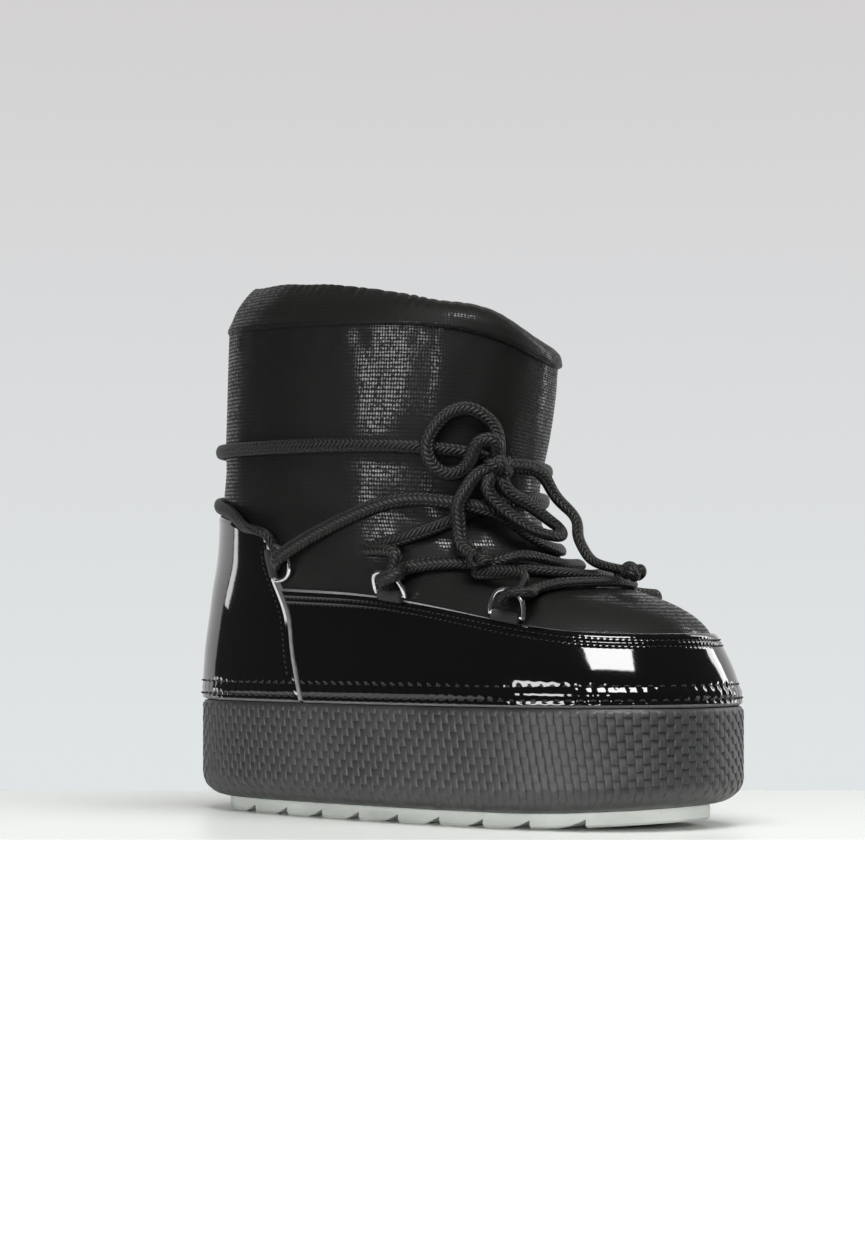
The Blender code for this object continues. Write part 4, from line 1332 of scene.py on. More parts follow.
@dataclass
class CollarBand:
    """The gathered band at the top of the shaft."""

    last: Last
    height: float = 0.0205
    overhang: float = 0.0013
    depth: float = 0.0110
    section: tuple[Row, ...] = (
        (0.55, 0.35, 0.00), (1.35, -0.10, 0.24), (0.80, -0.36, 0.52), (-0.17, -0.73, 0.80),
        (-0.57, -1.03, 0.97), (-0.86, -1.15, 0.98), (-1.00, -1.16, 0.82), (-0.81, -0.92, 0.55),
        (-0.54, -0.62, 0.28), (-0.45, -0.45, 0.00),
    )
    top: Table = (
        (-1.00, 1.00), (-0.60, 1.00), (-0.50, 0.96), (-0.40, 0.85), (-0.30, 0.71),
        (-0.22, 0.64), (-0.15, 0.67), (-0.08, 0.71), (-0.03, 0.68), (0.03, 0.60),
        (0.10, 0.51), (0.20, 0.45), (0.30, 0.55), (0.45, 0.78), (0.70, 0.93), (1.00, 1.00),
    )
    gathers: int = 74
    gathered_at: float = -0.33
    gathered_spread: float = 0.14
    columns: int = 720
    seed: int = 7

    def profile(self) -> Pair:
        """Return the section's smooth line in metres, and its headings."""
        corners = np.array(self.section)
        corners[:, :2] *= np.where(corners[:, :2] > 0.0, self.overhang, self.depth)
        corners[:, 2] *= self.height
        closed = np.concatenate([corners, corners[:1]])
        wrapped = np.concatenate([closed[-4:-1], closed, closed[1:4]])
        places = np.linspace(0.0, len(corners), 49)[:-1]
        smooth = spline_rows(np.arange(-3, len(closed) + 3), wrapped, places)
        return smooth, unit((np.roll(smooth, -1, axis=0) - np.roll(smooth, 1, axis=0))[:, ::2])

    def ruches(self, around: Array) -> Pair:
        """Return the gathers and the slow ripple round the band, in millimetres."""
        rng = np.random.default_rng(self.seed)
        here, there = np.linspace(0, 1, self.columns), np.linspace(0, 1, self.gathers)
        phase = np.interp(here, there, np.cumsum(rng.uniform(0.55, 1.45, self.gathers)))
        phase = phase / phase[-1] * self.gathers * math.pi
        strength = np.interp(here, there, rng.uniform(0.35, 1.0, self.gathers))
        strength[-20:] = np.linspace(strength[-20], strength[0], 20)
        strength = strength * (0.22 + 0.78 * bell(around, self.gathered_at, self.gathered_spread))
        ripple = np.sin(phase * 0.31 + 0.6) * 0.5 + np.sin(around * math.pi * 9.0) * 0.4
        return (np.abs(np.sin(phase)) ** 0.7 - 0.55) * strength, ripple

    def build(self) -> Piece:
        """Build the band with its gathers."""
        around = shares_round(self.columns)
        seam = self.last.at(np.ones(around.shape), around)
        out = self.last.normal(np.ones(around.shape), around)
        out[:, 2] = 0.0
        out = unit(out)
        front = 1.0 - smoothstep(np.abs(around), 0.15, 0.50)
        tall = self.height * read_table(self.top, around)
        smooth, lean = self.profile()
        ruche, ripple = self.ruches(around)
        rows = []
        for (front_reach, back_reach, rise), (lean_reach, lean_rise) in zip(smooth, lean):
            rise = rise / self.height
            reach = back_reach + (front_reach - back_reach) * front
            shape = seam + out * reach[:, None] + UP * (
                self.last.gap + rise * tall[:, None]
            )
            push = out * lean_rise - UP * lean_reach
            gathered = float(smoothstep(rise, 0.45, 0.95))
            seam_pull = float(1.0 - smoothstep(rise, 0.02, 0.30)) * (front_reach > 0.0)
            slow = 0.45 * float(smoothstep(rise, 0.1, 0.5))
            amount = ruche * (0.95 * gathered + 0.22 * seam_pull) + ripple * slow
            rows.append(shape + push * (amount * MM)[:, None])
        grid = np.array(rows + rows[:1])
        run = around * HALF_GIRTH
        profile = lengths_along(np.concatenate([smooth, smooth[:1]])[:, ::2])
        uvs = np.stack(np.broadcast_arrays(run[None], profile[:, None]), axis=-1)
        uvs = np.concatenate([uvs, uvs[:, -1:] + 0.0006], axis=1)
        patches = Patchwork()
        patches.grid(grid, uvs, closed=True)
        return finished(patches, "gathered_collar", Finish.COLLAR, 80.0, "cuff")


@dataclass(frozen=True)
class RingPlace:
    """Where a ring stands on a panel's edge, and how the lace leans in it."""

    name: str
    on_counter: bool
    place: float
    lean_over: float
    lean_under: float
    tilt: float


RINGS = (
    RingPlace("rear", True, 0.385, -25.0, -102.0, -3.0),
    RingPlace("middle", False, 0.452, 63.0, 4.0, 36.0),
    RingPlace("front", False, 0.284, 68.0, 12.0, 36.0),
)


class Side(Enum):
    """The boot's two sides."""

    OUTER = -1
    INNER = 1


@dataclass
class RingFrame:
    """The middle of a ring's bar, with its own directions."""

    bar: Array
    along: Array
    reach: Array
    normal: Array


@dataclass
class Rings:
    """The six D-rings and the tapes that hold them."""

    last: Last
    panels: PatentPanels
    width: float = 0.0185
    depth: float = 0.0125
    wire: float = 0.0022
    tape: float = 0.0009
    tape_width: float = 0.0132
    step: float = 0.03
    corner: float = 0.8
    swell: float = 0.04
    tail: float = 1.75

    def frame(self, ring: RingPlace, side: Side) -> RingFrame:
        """Find a ring's frame from the edge of the panel that holds it.

        Args:
            ring: Which ring.
            side: Which side of the boot.

        Returns:
            Its frame.
        """
        sleeve = self.wire / 2.0 + self.last.gap + self.tape
        way = float(side.value)
        if ring.on_counter:
            ups = ring.place + np.array([self.step, -self.step, 0.0])
            shares = way * read_table(self.panels.counter_edge, ups)
        else:
            shares = ring.place + np.array([self.step, -self.step, 0.0])
            ups = read_table(self.panels.mudguard_top, shares)
            shares = way * shares
        points = self.last.at(ups, shares)
        normal = self.last.normal(ups[2], shares[2])
        along = unit(points[1] - points[0])
        reach = unit(np.cross(along, normal) * way)
        normal = np.cross(reach, along) * way
        edge = points[2] + normal * (sleeve + self.last.gap)
        return RingFrame(edge + reach * (sleeve + 1.4 * self.last.gap), along, reach, normal)

    def build(self) -> Pieces:
        """Build every ring and its tape."""
        made = []
        for side in Side:
            for ring in RINGS:
                word = side.name.lower()
                frame = self.frame(ring, side)
                made.append(self.wire_ring(frame, ring.tilt, f"{ring.name}_{word}"))
                made.append(self.sleeve(frame, f"{ring.name}_{word}"))
        return made

    def wire_ring(self, frame: RingFrame, tilt: float, name: str) -> Piece:
        """Bend one ring from wire."""
        lean = math.radians(tilt)
        plane = frame.reach * math.cos(lean) + frame.normal * math.sin(lean)
        half = (self.width - self.wire) / 2.0
        depth = self.depth - self.wire / 2.0
        angle = np.linspace(0.0, math.pi, 49)
        across = half * np.sign(np.cos(angle)) * np.abs(np.cos(angle)) ** self.corner
        swell = 1.0 + self.swell * np.sin(angle)
        bow = (
            frame.bar + frame.along * (across * swell)[:, None]
            + plane * (depth * np.sin(angle) ** self.corner)[:, None]
        )
        bar = frame.bar + frame.along * np.linspace(-half, half, 14)[1:-1, None]
        points = np.concatenate([bow, bar])
        flats = np.tile(np.cross(frame.along, plane), (len(points), 1))
        patches = Patchwork()
        sweep(patches, points, flats, self.wire, self.wire, 14, closed=True)
        return finished(patches, f"wire_ring_{name}", Finish.WIRE, 80.0, f"d_ring_{name}")

    def sleeve(self, frame: RingFrame, name: str) -> Piece:
        """Fold the tape round a ring's bar, with its tail under the panel."""
        angle = 2.0 * math.pi * np.arange(20) / 20
        radius = self.wire / 2.0 + self.tape
        forward = radius * np.cos(angle)
        forward = np.where(forward < 0.0, forward * self.tail, forward)
        high = radius * np.sin(angle) * np.where(np.sin(angle) > 0.0, 1.0, 0.85)
        outline = frame.reach * forward[:, None] + frame.normal * high[:, None]
        ends = np.array([-0.5, -0.485, -0.2, 0.2, 0.485, 0.5]) * self.tape_width
        scale = np.array([0.55, 0.97, 1.0, 1.0, 0.97, 0.55])
        body = (
            frame.bar + frame.along * ends[:, None, None] + outline[None] * scale[:, None, None]
        )
        turn = lengths_along(np.concatenate([outline, outline[:1]]))
        uvs = np.stack(np.broadcast_arrays(ends[:, None], turn[None]), axis=-1)
        patches = Patchwork()
        way = float(np.dot(np.cross(frame.reach, frame.normal), frame.along)) > 0.0
        patches.grid(body, uvs, closed=True, flip=not way)
        for row, flip in ((0, way), (-1, not way)):
            cap = np.stack([body[row], np.tile(body[row].mean(axis=0), (20, 1))])
            patches.grid(cap, np.stack([uvs[row]] * 2), closed=True, flip=not flip)
        return finished(patches, f"ring_tape_{name}", Finish.TAPE, 60.0, f"ring_tab_{name}")


# Lifts over the cloth where the lace lies on it and where it crosses another run
LOW = 0.0042
OVER = 0.0108
# Turns through a ring: over or under the bow, distance from the bar and lift
RING_TURN = (
    ("over", 0.0108, 0.0118), ("over", 0.0060, 0.0138), ("over", 0.0018, 0.0124),
    ("under", 0.0000, 0.0086), ("under", 0.0018, 0.0054), ("under", 0.0066, 0.0038),
    ("under", 0.0125, 0.0038),
)
REAR_TURN = (
    ("over", 0.0112, 0.0066), ("over", 0.0072, 0.0076), ("over", 0.0032, 0.0064),
    ("under", 0.0000, 0.0042), ("under", 0.0030, 0.0024), ("under", 0.0072, 0.0020),
    ("under", 0.0125, 0.0032),
)
# Routes on the upper: share up, share around and lift
FRONT_BAR = (
    (0.290, 0.200, 0.0064), (0.317, 0.140, LOW), (0.327, 0.070, LOW), (0.330, 0.000, LOW),
    (0.327, -0.070, LOW), (0.317, -0.140, LOW), (0.290, -0.200, 0.0064),
)
FRONT_TO_MIDDLE_INNER = (
    (0.354, -0.222, 0.0056), (0.372, -0.152, OVER), (0.388, -0.088, 0.0092),
    (0.393, -0.015, LOW), (0.392, 0.060, LOW), (0.390, 0.140, LOW),
    (0.388, 0.217, LOW), (0.382, 0.287, LOW), (0.356, 0.350, 0.0092),
)
FRONT_TO_MIDDLE_OUTER = (
    (0.353, 0.216, LOW), (0.354, 0.140, LOW), (0.354, 0.050, LOW), (0.360, -0.060, LOW),
    (0.374, -0.125, LOW), (0.388, -0.200, LOW), (0.384, -0.287, LOW), (0.356, -0.350, 0.0092),
)
MIDDLE_TO_REAR_INNER = (
    (0.428, -0.382, LOW), (0.456, -0.310, LOW), (0.482, -0.247, LOW), (0.512, -0.187, LOW),
    (0.546, -0.130, LOW), (0.572, -0.060, LOW), (0.580, 0.030, LOW), (0.577, 0.130, LOW),
    (0.570, 0.230, LOW), (0.553, 0.307, LOW), (0.520, 0.390, LOW), (0.478, 0.470, LOW),
)
MIDDLE_TO_REAR_OUTER = (
    (0.424, 0.382, LOW), (0.437, 0.300, LOW), (0.440, 0.200, LOW), (0.440, 0.100, LOW),
    (0.448, 0.010, LOW), (0.476, -0.040, 0.0062), (0.518, -0.080, 0.0096),
    (0.547, -0.125, OVER), (0.562, -0.185, 0.0076), (0.566, -0.245, LOW),
    (0.555, -0.307, LOW), (0.530, -0.370, LOW), (0.493, -0.443, LOW),
)
REAR_TO_KNOT_INNER = (
    (0.484, 0.675, 0.0072), (0.520, 0.730, 0.0088), (0.568, 0.800, OVER),
    (0.625, 0.880, 0.0076), (0.665, 0.960, LOW), (0.677, 1.050, LOW), (0.680, 1.210, LOW),
    (0.685, 1.387, LOW), (0.690, 1.533, LOW), (0.693, 1.677, LOW), (0.690, 1.797, LOW),
    (0.682, 1.862, LOW), (0.674, 1.888, LOW),
)
REAR_TO_KNOT_OUTER = (
    (0.482, -0.675, 0.0066), (0.508, -0.725, 0.0046), (0.530, -0.810, LOW),
    (0.540, -0.900, LOW), (0.544, -1.000, LOW), (0.552, -1.120, LOW), (0.566, -1.230, LOW),
    (0.590, -1.400, LOW), (0.620, -1.600, LOW), (0.648, -1.800, LOW), (0.662, -1.920, LOW),
    (0.666, -1.985, LOW), (0.662, -2.040, LOW), (0.658, -2.072, LOW),
)
LOOP_OUTER = (
    (0.728, -0.098, 0.0080), (0.758, -0.106, 0.0056), (0.782, -0.132, 0.0052),
    (0.792, -0.160, 0.0056), (0.780, -0.193, 0.0066), (0.742, -0.220, 0.0086),
    (0.700, -0.229, 0.0104), (0.655, -0.217, 0.0106), (0.630, -0.184, 0.0104),
    (0.643, -0.160, 0.0118), (0.682, -0.148, 0.0134), (0.722, -0.138, 0.0140),
    (0.728, -0.118, 0.0148),
)
LOOP_INNER = (
    (0.598, -0.082, 0.0156), (0.568, -0.058, 0.0166), (0.528, -0.030, 0.0174),
    (0.482, -0.008, 0.0176), (0.449, 0.004, 0.0176), (0.425, -0.010, 0.0174),
    (0.424, -0.036, 0.0174), (0.452, -0.056, 0.0174), (0.502, -0.078, 0.0172),
    (0.556, -0.100, 0.0162), (0.604, -0.116, 0.0148),
)
END_OUTER = (
    (0.634, -0.134, 0.0138), (0.592, -0.154, 0.0162), (0.548, -0.168, 0.0168),
    (0.505, -0.172, 0.0150), (0.462, -0.180, 0.0132), (0.425, -0.190, 0.0130),
    (0.404, -0.195, 0.0134),
)
END_INNER = (
    (0.670, -0.055, 0.0124), (0.668, -0.030, 0.0134), (0.644, -0.004, 0.0160),
    (0.596, 0.012, 0.0190), (0.545, 0.022, 0.0230), (0.492, 0.028, 0.0250),
    (0.445, 0.028, 0.0246), (0.410, 0.024, 0.0206), (0.383, 0.018, 0.0150),
    (0.366, 0.014, 0.0112), (0.352, 0.010, 0.0104),
)
Route = tuple[Row, ...]


# The knot's turns of lace: lean in degrees, then shift, half height, half depth
# and sink in millimetres
KNOT_BANDS = (
    (68.0, 0.0, 4.6, 4.2, 0.0), (150.0, 0.8, 5.4, 3.0, -1.4), (20.0, -1.0, 5.6, 2.7, 1.2),
)


@dataclass
class KnotFrame:
    """A knot's middle, directions and half sizes."""

    centre: Array
    level: Array
    out: Array
    high: Array
    sizes: Row


@dataclass
class Laces:
    """The braided lace: its runs through the rings, the bow and the knots."""

    last: Last
    rings: Rings
    width: float = 6.4 * MM
    thickness: float = 4.3 * MM
    opening: float = 0.0046
    rest: float = 0.4 * MM
    lift_share: float = 0.78
    turn_share: float = 0.22
    step: float = 0.9 * MM
    knot_place: Row = (0.662, -0.096, 0.0118)
    knot_sizes: Row = (0.0078, 0.0046, 0.0066)
    end_outer_place: Row = (0.352, -0.217, 0.0142)
    end_inner_place: Row = (0.318, 0.004, 0.0120)
    end_sizes: Row = (0.0056, 0.0050, 0.0056)
    lines: dict[str, Array] = field(default_factory=dict)

    def lift(self, value: float) -> float:
        """Return how high a run lies on the soft cloth for its height in the solids."""
        return self.thickness / 2.0 + self.rest + (value - LOW) * self.lift_share

    def route(self, rows: Route) -> Pair:
        """Return a run's points and the cloth's directions there."""
        up, around, lift = np.array(rows).T
        lifts = np.array([self.lift(value) for value in lift])
        return self.last.at(up, around, lifts), self.last.normal(up, around)

    def turn(self, name: str, side: Side) -> Pair:
        """Return the lace's points in a ring, with no set flat side."""
        ring = next(ring for ring in RINGS if ring.name == name)
        frame = self.rings.frame(ring, side)
        sleeve = self.rings.wire / 2.0 + self.rings.tape + 2.0 * self.last.gap
        base = frame.bar - frame.normal * sleeve + frame.reach * self.opening
        points = []
        for way, distance, lift in REAR_TURN if ring.on_counter else RING_TURN:
            lean = math.radians(ring.lean_over if way == "over" else ring.lean_under)
            heading = frame.along * math.sin(lean) + frame.reach * math.cos(lean)
            points.append(base + heading * distance + frame.normal * lift)
        return np.array(points), np.zeros((len(points), 3))

    def knot(self, place: Row, sizes: Row) -> KnotFrame:
        """Return a knot's frame."""
        up, around, lift = place
        out = self.last.normal(up, around)
        centre = self.last.at(up, around, self.lift(lift))
        level = unit(np.cross(UP, out))
        return KnotFrame(centre, level, out, np.cross(level, out), sizes)

    def crossings(self) -> Piece:
        """Lay the lace from the knot through the six rings and back."""
        inner, outer = Side.INNER, Side.OUTER
        half = [
            [self.turn("front", inner), self.route(FRONT_TO_MIDDLE_OUTER),
             self.turn("middle", outer), self.route(MIDDLE_TO_REAR_INNER),
             self.turn("rear", inner), self.route(REAR_TO_KNOT_INNER)],
            [self.turn("front", outer), self.route(FRONT_TO_MIDDLE_INNER),
             self.turn("middle", inner), self.route(MIDDLE_TO_REAR_OUTER),
             self.turn("rear", outer), self.route(REAR_TO_KNOT_OUTER)],
        ]
        first = [self.reversed(run) for run in reversed(half[0])]
        runs = first + [self.route(FRONT_BAR)] + half[1]
        points = np.concatenate([run[0] for run in runs])
        flats = np.concatenate([run[1] for run in runs])
        return self.cord("lace_runs", points, flats, "lace_crossings")

    @staticmethod
    def reversed(run: Pair) -> Pair:
        """Return a run from its other end."""
        return run[0][::-1], run[1][::-1]

    def settle(self, points: Array, flats: Array) -> Pair:
        """Lay even points with flat sides that turn slowly towards the cloth.

        Args:
            points: Chosen points.
            flats: The cloth's directions, or nothing where the lace is free.

        Returns:
            Even points and their flat directions.
        """
        length = lengths_along(points)
        at = np.linspace(0.0, length[-1], round(length[-1] / self.step) + 1)
        line = spline_rows(length, points, at)
        wanted = read_along(at, length, flats)
        along = unit(np.gradient(line, axis=0))
        made = np.zeros_like(line)
        flat = wanted[0] if np.linalg.norm(wanted[0]) > 0.5 else UP
        for i, tangent in enumerate(along):
            flat = flat - tangent * np.dot(flat, tangent)
            flat = flat / max(np.linalg.norm(flat), 1e-9)
            goal = wanted[i] - tangent * np.dot(wanted[i], tangent)
            pull = min(1.0, float(np.linalg.norm(goal))) ** 2
            if np.dot(goal, flat) < 0.0:
                goal = -goal
            flat = flat + goal * self.turn_share * pull
            flat = flat / max(np.linalg.norm(flat), 1e-9)
            made[i] = flat
        return line, made

    def cord(self, name: str, points: Array, flats: Array, node: str) -> Piece:
        """Braid one stretch of lace.

        Args:
            name: The piece's name.
            points: Chosen points.
            flats: The cloth's directions there.
            node: The solid that it stands for.
        """
        line, turned = self.settle(points, flats)
        patches = Patchwork()
        sweep(patches, line, turned, self.width, self.thickness, 18)
        self.lines[name] = line
        return finished(patches, name, Finish.BRAID, 80.0, node)

    def bow(self) -> Pieces:
        """Tie the bow: two loops, two ends and three knots."""
        knot = self.knot(self.knot_place, self.knot_sizes)
        outer = self.knot(self.end_outer_place, self.end_sizes)
        inner = self.knot(self.end_inner_place, self.end_sizes)
        made = [
            self.wrapped_knot(knot), self.overhand("end_knot_lower", outer, "end_knot_outer"),
            self.overhand("end_knot_toe", inner, "end_knot_inner"),
        ]
        stretches = (
            ("lace_loop_upper", LOOP_OUTER, knot, "lace_loop_outer", made[:1]),
            ("lace_loop_lower", LOOP_INNER, knot, "lace_loop_inner", []),
            ("lace_end_lower", END_OUTER, outer, "lace_end_outer", made[1:2]),
            ("lace_end_toe", END_INNER, inner, "lace_end_inner", made[2:]),
        )
        for name, rows, last, node, going_with in stretches:
            points, flats = self.route(rows)
            points = np.concatenate([
                self.meeting(knot, points[0])[None], points, self.meeting(last, points[-1])[None]
            ])
            flats = np.concatenate([flats[:1], flats, flats[-1:]])
            piece = self.cord(name, points, flats, node)
            made.append(piece)
        return made

    def meeting(self, knot: KnotFrame, point: Array) -> Array:
        """Return where a stretch from a point ends inside a knot's skin."""
        away = unit(point - knot.centre)
        shares = [
            float(np.dot(away, axis)) / size
            for axis, size in zip((knot.level, knot.out, knot.high), knot.sizes)
        ]
        return knot.centre + away * (0.55 / np.linalg.norm(shares))

    def wrapped_knot(self, knot: KnotFrame) -> Piece:
        """Wrap the lace round itself in the bow's middle."""
        patches = Patchwork()
        angle = 2.0 * math.pi * np.arange(40) / 40
        for turn, shift, tall, deep, sink in KNOT_BANDS:
            lean = math.radians(turn)
            heading = knot.level * math.cos(lean) + knot.high * math.sin(lean)
            across = np.cross(knot.out, heading)
            centre = knot.centre + across * shift * MM + knot.out * sink * 0.4 * MM
            points = (
                centre + heading * (tall * MM * np.cos(angle))[:, None]
                + knot.out * (deep * MM * np.sin(angle))[:, None]
            )
            flats = heading * np.cos(angle)[:, None] + knot.out * np.sin(angle)[:, None]
            sweep(patches, points, flats, self.width * 0.9, self.thickness * 0.85, 16, closed=True)
        return finished(patches, "bow_knot", Finish.BRAID, 80.0, "lace_knot")

    def overhand(self, name: str, knot: KnotFrame, node: str) -> Piece:
        """Tie an overhand knot at the lace's end."""
        t = 2.0 * math.pi * np.arange(72) / 72
        size = knot.sizes[0] * 0.27
        shape = np.column_stack([
            np.sin(t) + 2.0 * np.sin(2.0 * t), np.cos(t) - 2.0 * np.cos(2.0 * t),
            -1.15 * np.sin(3.0 * t),
        ]) * size
        axes = np.array([knot.level, knot.high, knot.out])
        points = knot.centre + shape @ axes
        flats = unit(points - knot.centre)
        patches = Patchwork()
        sweep(patches, points, flats, self.width * 0.80, self.thickness * 0.80, 16, closed=True)
        return finished(patches, name, Finish.BRAID, 80.0, node)

    def build(self) -> Pieces:
        """Build the whole lace."""
        return [*self.bow(), self.crossings()]


@dataclass(frozen=True)
class Lamp:
    """A soft light, placed by the direction in which the boot sees it."""

    name: str
    turn: float
    rise: float
    distance: float
    size: tuple[float, float]
    radiance: float
    mirrored: bool = True
    lighting: bool = True


LAMPS = (
    Lamp("ceiling", 15.0, 68.0, 1.9, (1.7, 1.3), 7.0, mirrored=False),
    Lamp("right_fill", 60.0, 22.0, 1.8, (0.9, 0.9), 1.6, mirrored=False),
    Lamp("front_fill", -18.0, 7.0, 1.9, (1.3, 0.5), 4.4, mirrored=False),
    Lamp("toe_window", 11.0, 46.0, 1.6, (0.78, 0.52), 13.0, lighting=False),
    Lamp("left_window", -39.0, 4.5, 1.7, (0.84, 0.42), 9.0, lighting=False),
    Lamp("camera_side_strip", -10.0, 3.0, 2.4, (0.22, 0.50), 10.0, lighting=False),
    Lamp("right_strip", 118.0, 18.0, 1.5, (0.22, 1.1), 5.0, lighting=False),
    Lamp("left_strip", -122.0, -6.0, 1.5, (0.10, 0.20), 3.0, lighting=False),
)


@dataclass
class Photographer:
    """Camera, lights and stage."""

    turn: float = math.radians(36.9)
    distance: float = 1.289
    height: float = 0.0862
    aside: float = 0.00916
    lens: float = 80.97
    plinth_front: float = 0.140
    plinth_back: float = 0.211
    plinth_reach: tuple[float, float] = (-0.42, 1.6)
    middle: Row = (0.0, 0.0, 0.10)
    room_glow: float = 0.06
    wall_away: float = 0.95
    wall_reach: tuple[float, float] = (-1.35, 1.7)
    wall_radius: float = 3.0
    wall_levels: tuple[float, ...] = (-0.9, -0.3, 0.0, 0.2, 0.4, 0.8, 1.5, 3.0)
    wall_span: tuple[float, float] = (-0.1, 1.05)
    # Painted light on the wall: lighter low down, darker higher up
    wall_low: Row = (0.745, 0.780, 0.790)
    wall_high: Row = (0.655, 0.640, 0.648)
    floor: float = -0.9

    def directions(self) -> Pair:
        """Return the camera's forward and right directions."""
        ahead = np.array([-math.sin(self.turn), math.cos(self.turn), 0.0])
        right = np.array([math.cos(self.turn), math.sin(self.turn), 0.0])
        return ahead, right

    def camera(self) -> Piece:
        """Set the camera at the photograph's angle."""
        ahead, right = self.directions()
        data = bpy.data.cameras.new("photo_camera")
        data.lens = self.lens
        data.sensor_width = 36.0
        data.sensor_fit = "AUTO"
        data.clip_end = 50.0
        camera = bpy.data.objects.new("photo_camera", data)
        camera.location = Vector(-ahead * self.distance - right * self.aside) + Vector(
            (0.0, 0.0, self.height)
        )
        camera.rotation_euler = Vector(ahead).to_track_quat("-Z", "Y").to_euler()
        bpy.context.scene.collection.objects.link(camera)
        bpy.context.scene.camera = camera
        return camera

    def heading(self, turn: float, rise: float) -> Array:
        """Return a direction from the boot.

        Args:
            turn: Degrees to the right of the way back to the camera.
            rise: Degrees above level.

        Returns:
            The direction.
        """
        ahead, right = self.directions()
        around, lift = math.radians(turn), math.radians(rise)
        level = right * math.sin(around) - ahead * math.cos(around)
        return level * math.cos(lift) + UP * math.sin(lift)

    def hang(self, lamp: Lamp) -> None:
        """Hang a soft light that faces the boot."""
        data = bpy.data.lights.new(lamp.name, "AREA")
        data.shape = "RECTANGLE"
        data.size, data.size_y = lamp.size
        data.energy = lamp.radiance * math.pi * lamp.size[0] * lamp.size[1]
        light = bpy.data.objects.new(lamp.name, data)
        away = Vector(self.heading(lamp.turn, lamp.rise))
        light.location = Vector(self.middle) + away * lamp.distance
        light.rotation_euler = (-away).to_track_quat("-Z", "Y").to_euler()
        light.visible_camera = False
        light.visible_glossy = lamp.mirrored
        light.visible_diffuse = lamp.lighting
        bpy.context.scene.collection.objects.link(light)

    def lights(self) -> None:
        """Light the boot as in the photograph."""
        world = bpy.data.worlds.new("studio")
        world.use_nodes = True
        background = world.node_tree.nodes["Background"]
        background.inputs["Color"].default_value = (0.92, 0.95, 1.0, 1.0)
        background.inputs["Strength"].default_value = self.room_glow
        bpy.context.scene.world = world
        for lamp in LAMPS:
            self.hang(lamp)

    def plinth(self) -> Piece:
        """Build the pale plinth under the boot, whose front face glows white as painted light."""
        ahead, right = self.directions()
        top = np.array([
            [ahead * depth + right * side for side in self.plinth_reach]
            for depth in (-self.plinth_front, self.plinth_back)
        ])
        patches = Patchwork()
        plain = np.zeros((2, 2, 2))
        low = UP * self.floor
        patches.grid(top, plain)
        patches.grid(np.stack([top[0] + low, top[0]]), plain, slot=1)
        patches.grid(np.stack([top[1], top[1] + low]), plain, slot=1)
        # The front face glows white instead of being lit: painted light
        return patches.build("plinth", [
            STAGE.make(), self.glow("plinth_front", 1.1)
        ])

    def card(self) -> Piece:
        """Build the bright card that only reflections see."""
        ahead, right = self.directions()
        edge = ahead * self.wall_away
        patches = Patchwork()
        patches.grid(np.array([
            [edge + right * side + UP * z for side in self.wall_reach] for z in (-0.3, 1.6)
        ]), np.zeros((2, 2, 2)))
        return patches.build("wall_card", [self.glow("wall_light", 0.75)])

    def wall(self) -> Piece:
        """Build the round wall and the floor, seen by the camera only."""
        angle = np.linspace(0.0, 2.0 * math.pi, 97)[:-1]
        across, deep = self.wall_radius * np.cos(angle), self.wall_radius * np.sin(angle)
        grid = np.array([
            np.column_stack([across, deep, np.full(96, z)]) for z in self.wall_levels
        ])
        patches = Patchwork()
        patches.grid(grid, np.zeros((len(grid), 97, 2)), closed=True, flip=True)
        floor = np.stack([grid[0] * 0.001 + UP * self.floor, grid[0]])
        patches.grid(floor, np.zeros((2, 97, 2)), closed=True, flip=True)
        return patches.build("wall", [self.wall_paint()])

    def stage(self) -> None:
        """Stand the boot on a pale plinth in front of a pale wall."""
        plinth, card, wall = self.plinth(), self.card(), self.wall()
        card.visible_camera = False
        wall.visible_glossy = False
        for piece in (card, wall):
            piece.visible_diffuse = False
            piece.visible_shadow = False

    @staticmethod
    def glow(name: str, strength: float) -> Material:
        """Make an evenly bright surface."""
        shader = Shader(name, (0.0, 0.0, 0.0), 1.0)
        shader.set("Specular IOR Level", 0.0)
        shader.set("Emission Color", (1.0, 1.0, 1.0, 1.0))
        shader.set("Emission Strength", strength)
        return shader.material

    def wall_paint(self) -> Material:
        """Make the wall glow in a soft gradient of painted light, lighter low down and darker
        higher up.
        """
        material = bpy.data.materials.new("wall_paint")
        material.use_nodes = True
        tree = material.node_tree
        tree.nodes.clear()
        glow = tree.nodes.new("ShaderNodeEmission")
        out = tree.nodes.new("ShaderNodeOutputMaterial")
        place = tree.nodes.new("ShaderNodeTexCoord")
        split = tree.nodes.new("ShaderNodeSeparateXYZ")
        span = tree.nodes.new("ShaderNodeMapRange")
        span.inputs["From Min"].default_value = self.wall_span[0]
        span.inputs["From Max"].default_value = self.wall_span[1]
        mix = tree.nodes.new("ShaderNodeMix")
        mix.data_type = "RGBA"
        mix.inputs[MIX_FIRST].default_value = (*self.wall_low, 1.0)
        mix.inputs[MIX_SECOND].default_value = (*self.wall_high, 1.0)
        tree.links.new(place.outputs["Object"], split.inputs[0])
        tree.links.new(split.outputs[2], span.inputs["Value"])
        tree.links.new(span.outputs["Result"], mix.inputs["Factor"])
        tree.links.new(mix.outputs[MIX_OUT], glow.inputs["Color"])
        tree.links.new(glow.outputs[0], out.inputs["Surface"])
        return material


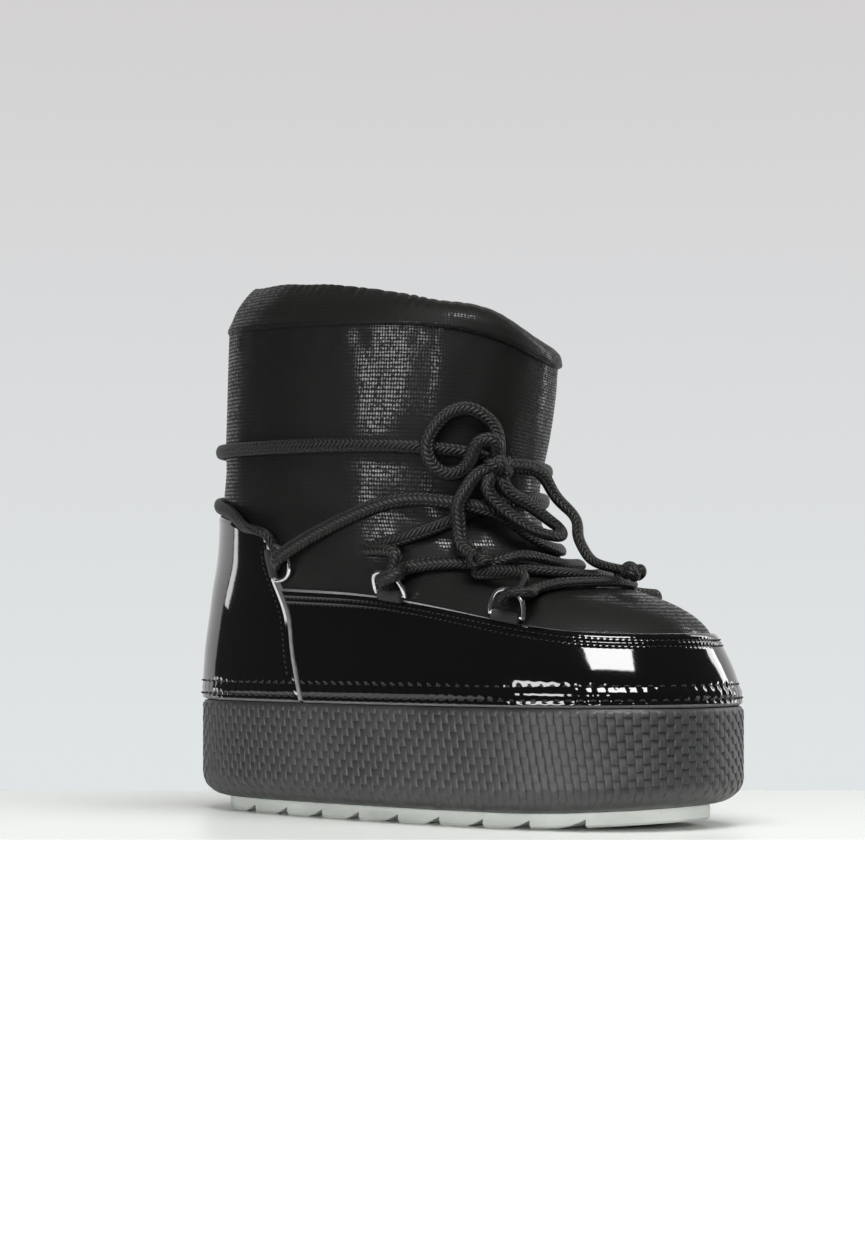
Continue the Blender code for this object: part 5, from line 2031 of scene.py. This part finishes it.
def main() -> None:
    """Build the boot piece by piece."""
    logging.basicConfig(level=logging.INFO, format="%(name)s %(message)s")
    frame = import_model()
    bpy.context.scene.view_settings.view_transform = "Standard"
    photographer = Photographer()
    photographer.camera()
    last = Last()
    panels = PatentPanels(last)
    rings = Rings(last, panels)
    Laces(last, rings).build()
    form = SoleForm()
    Outsole(frame["nodes"]["outsole"]).dress()
    Midsole(form).build()
    Insole(form).build()
    Upper(last).build()
    panels.build()
    CollarBand(last).build()
    rings.build()
    photographer.stage()
    photographer.lights()


if __name__ == "__main__":
    main()
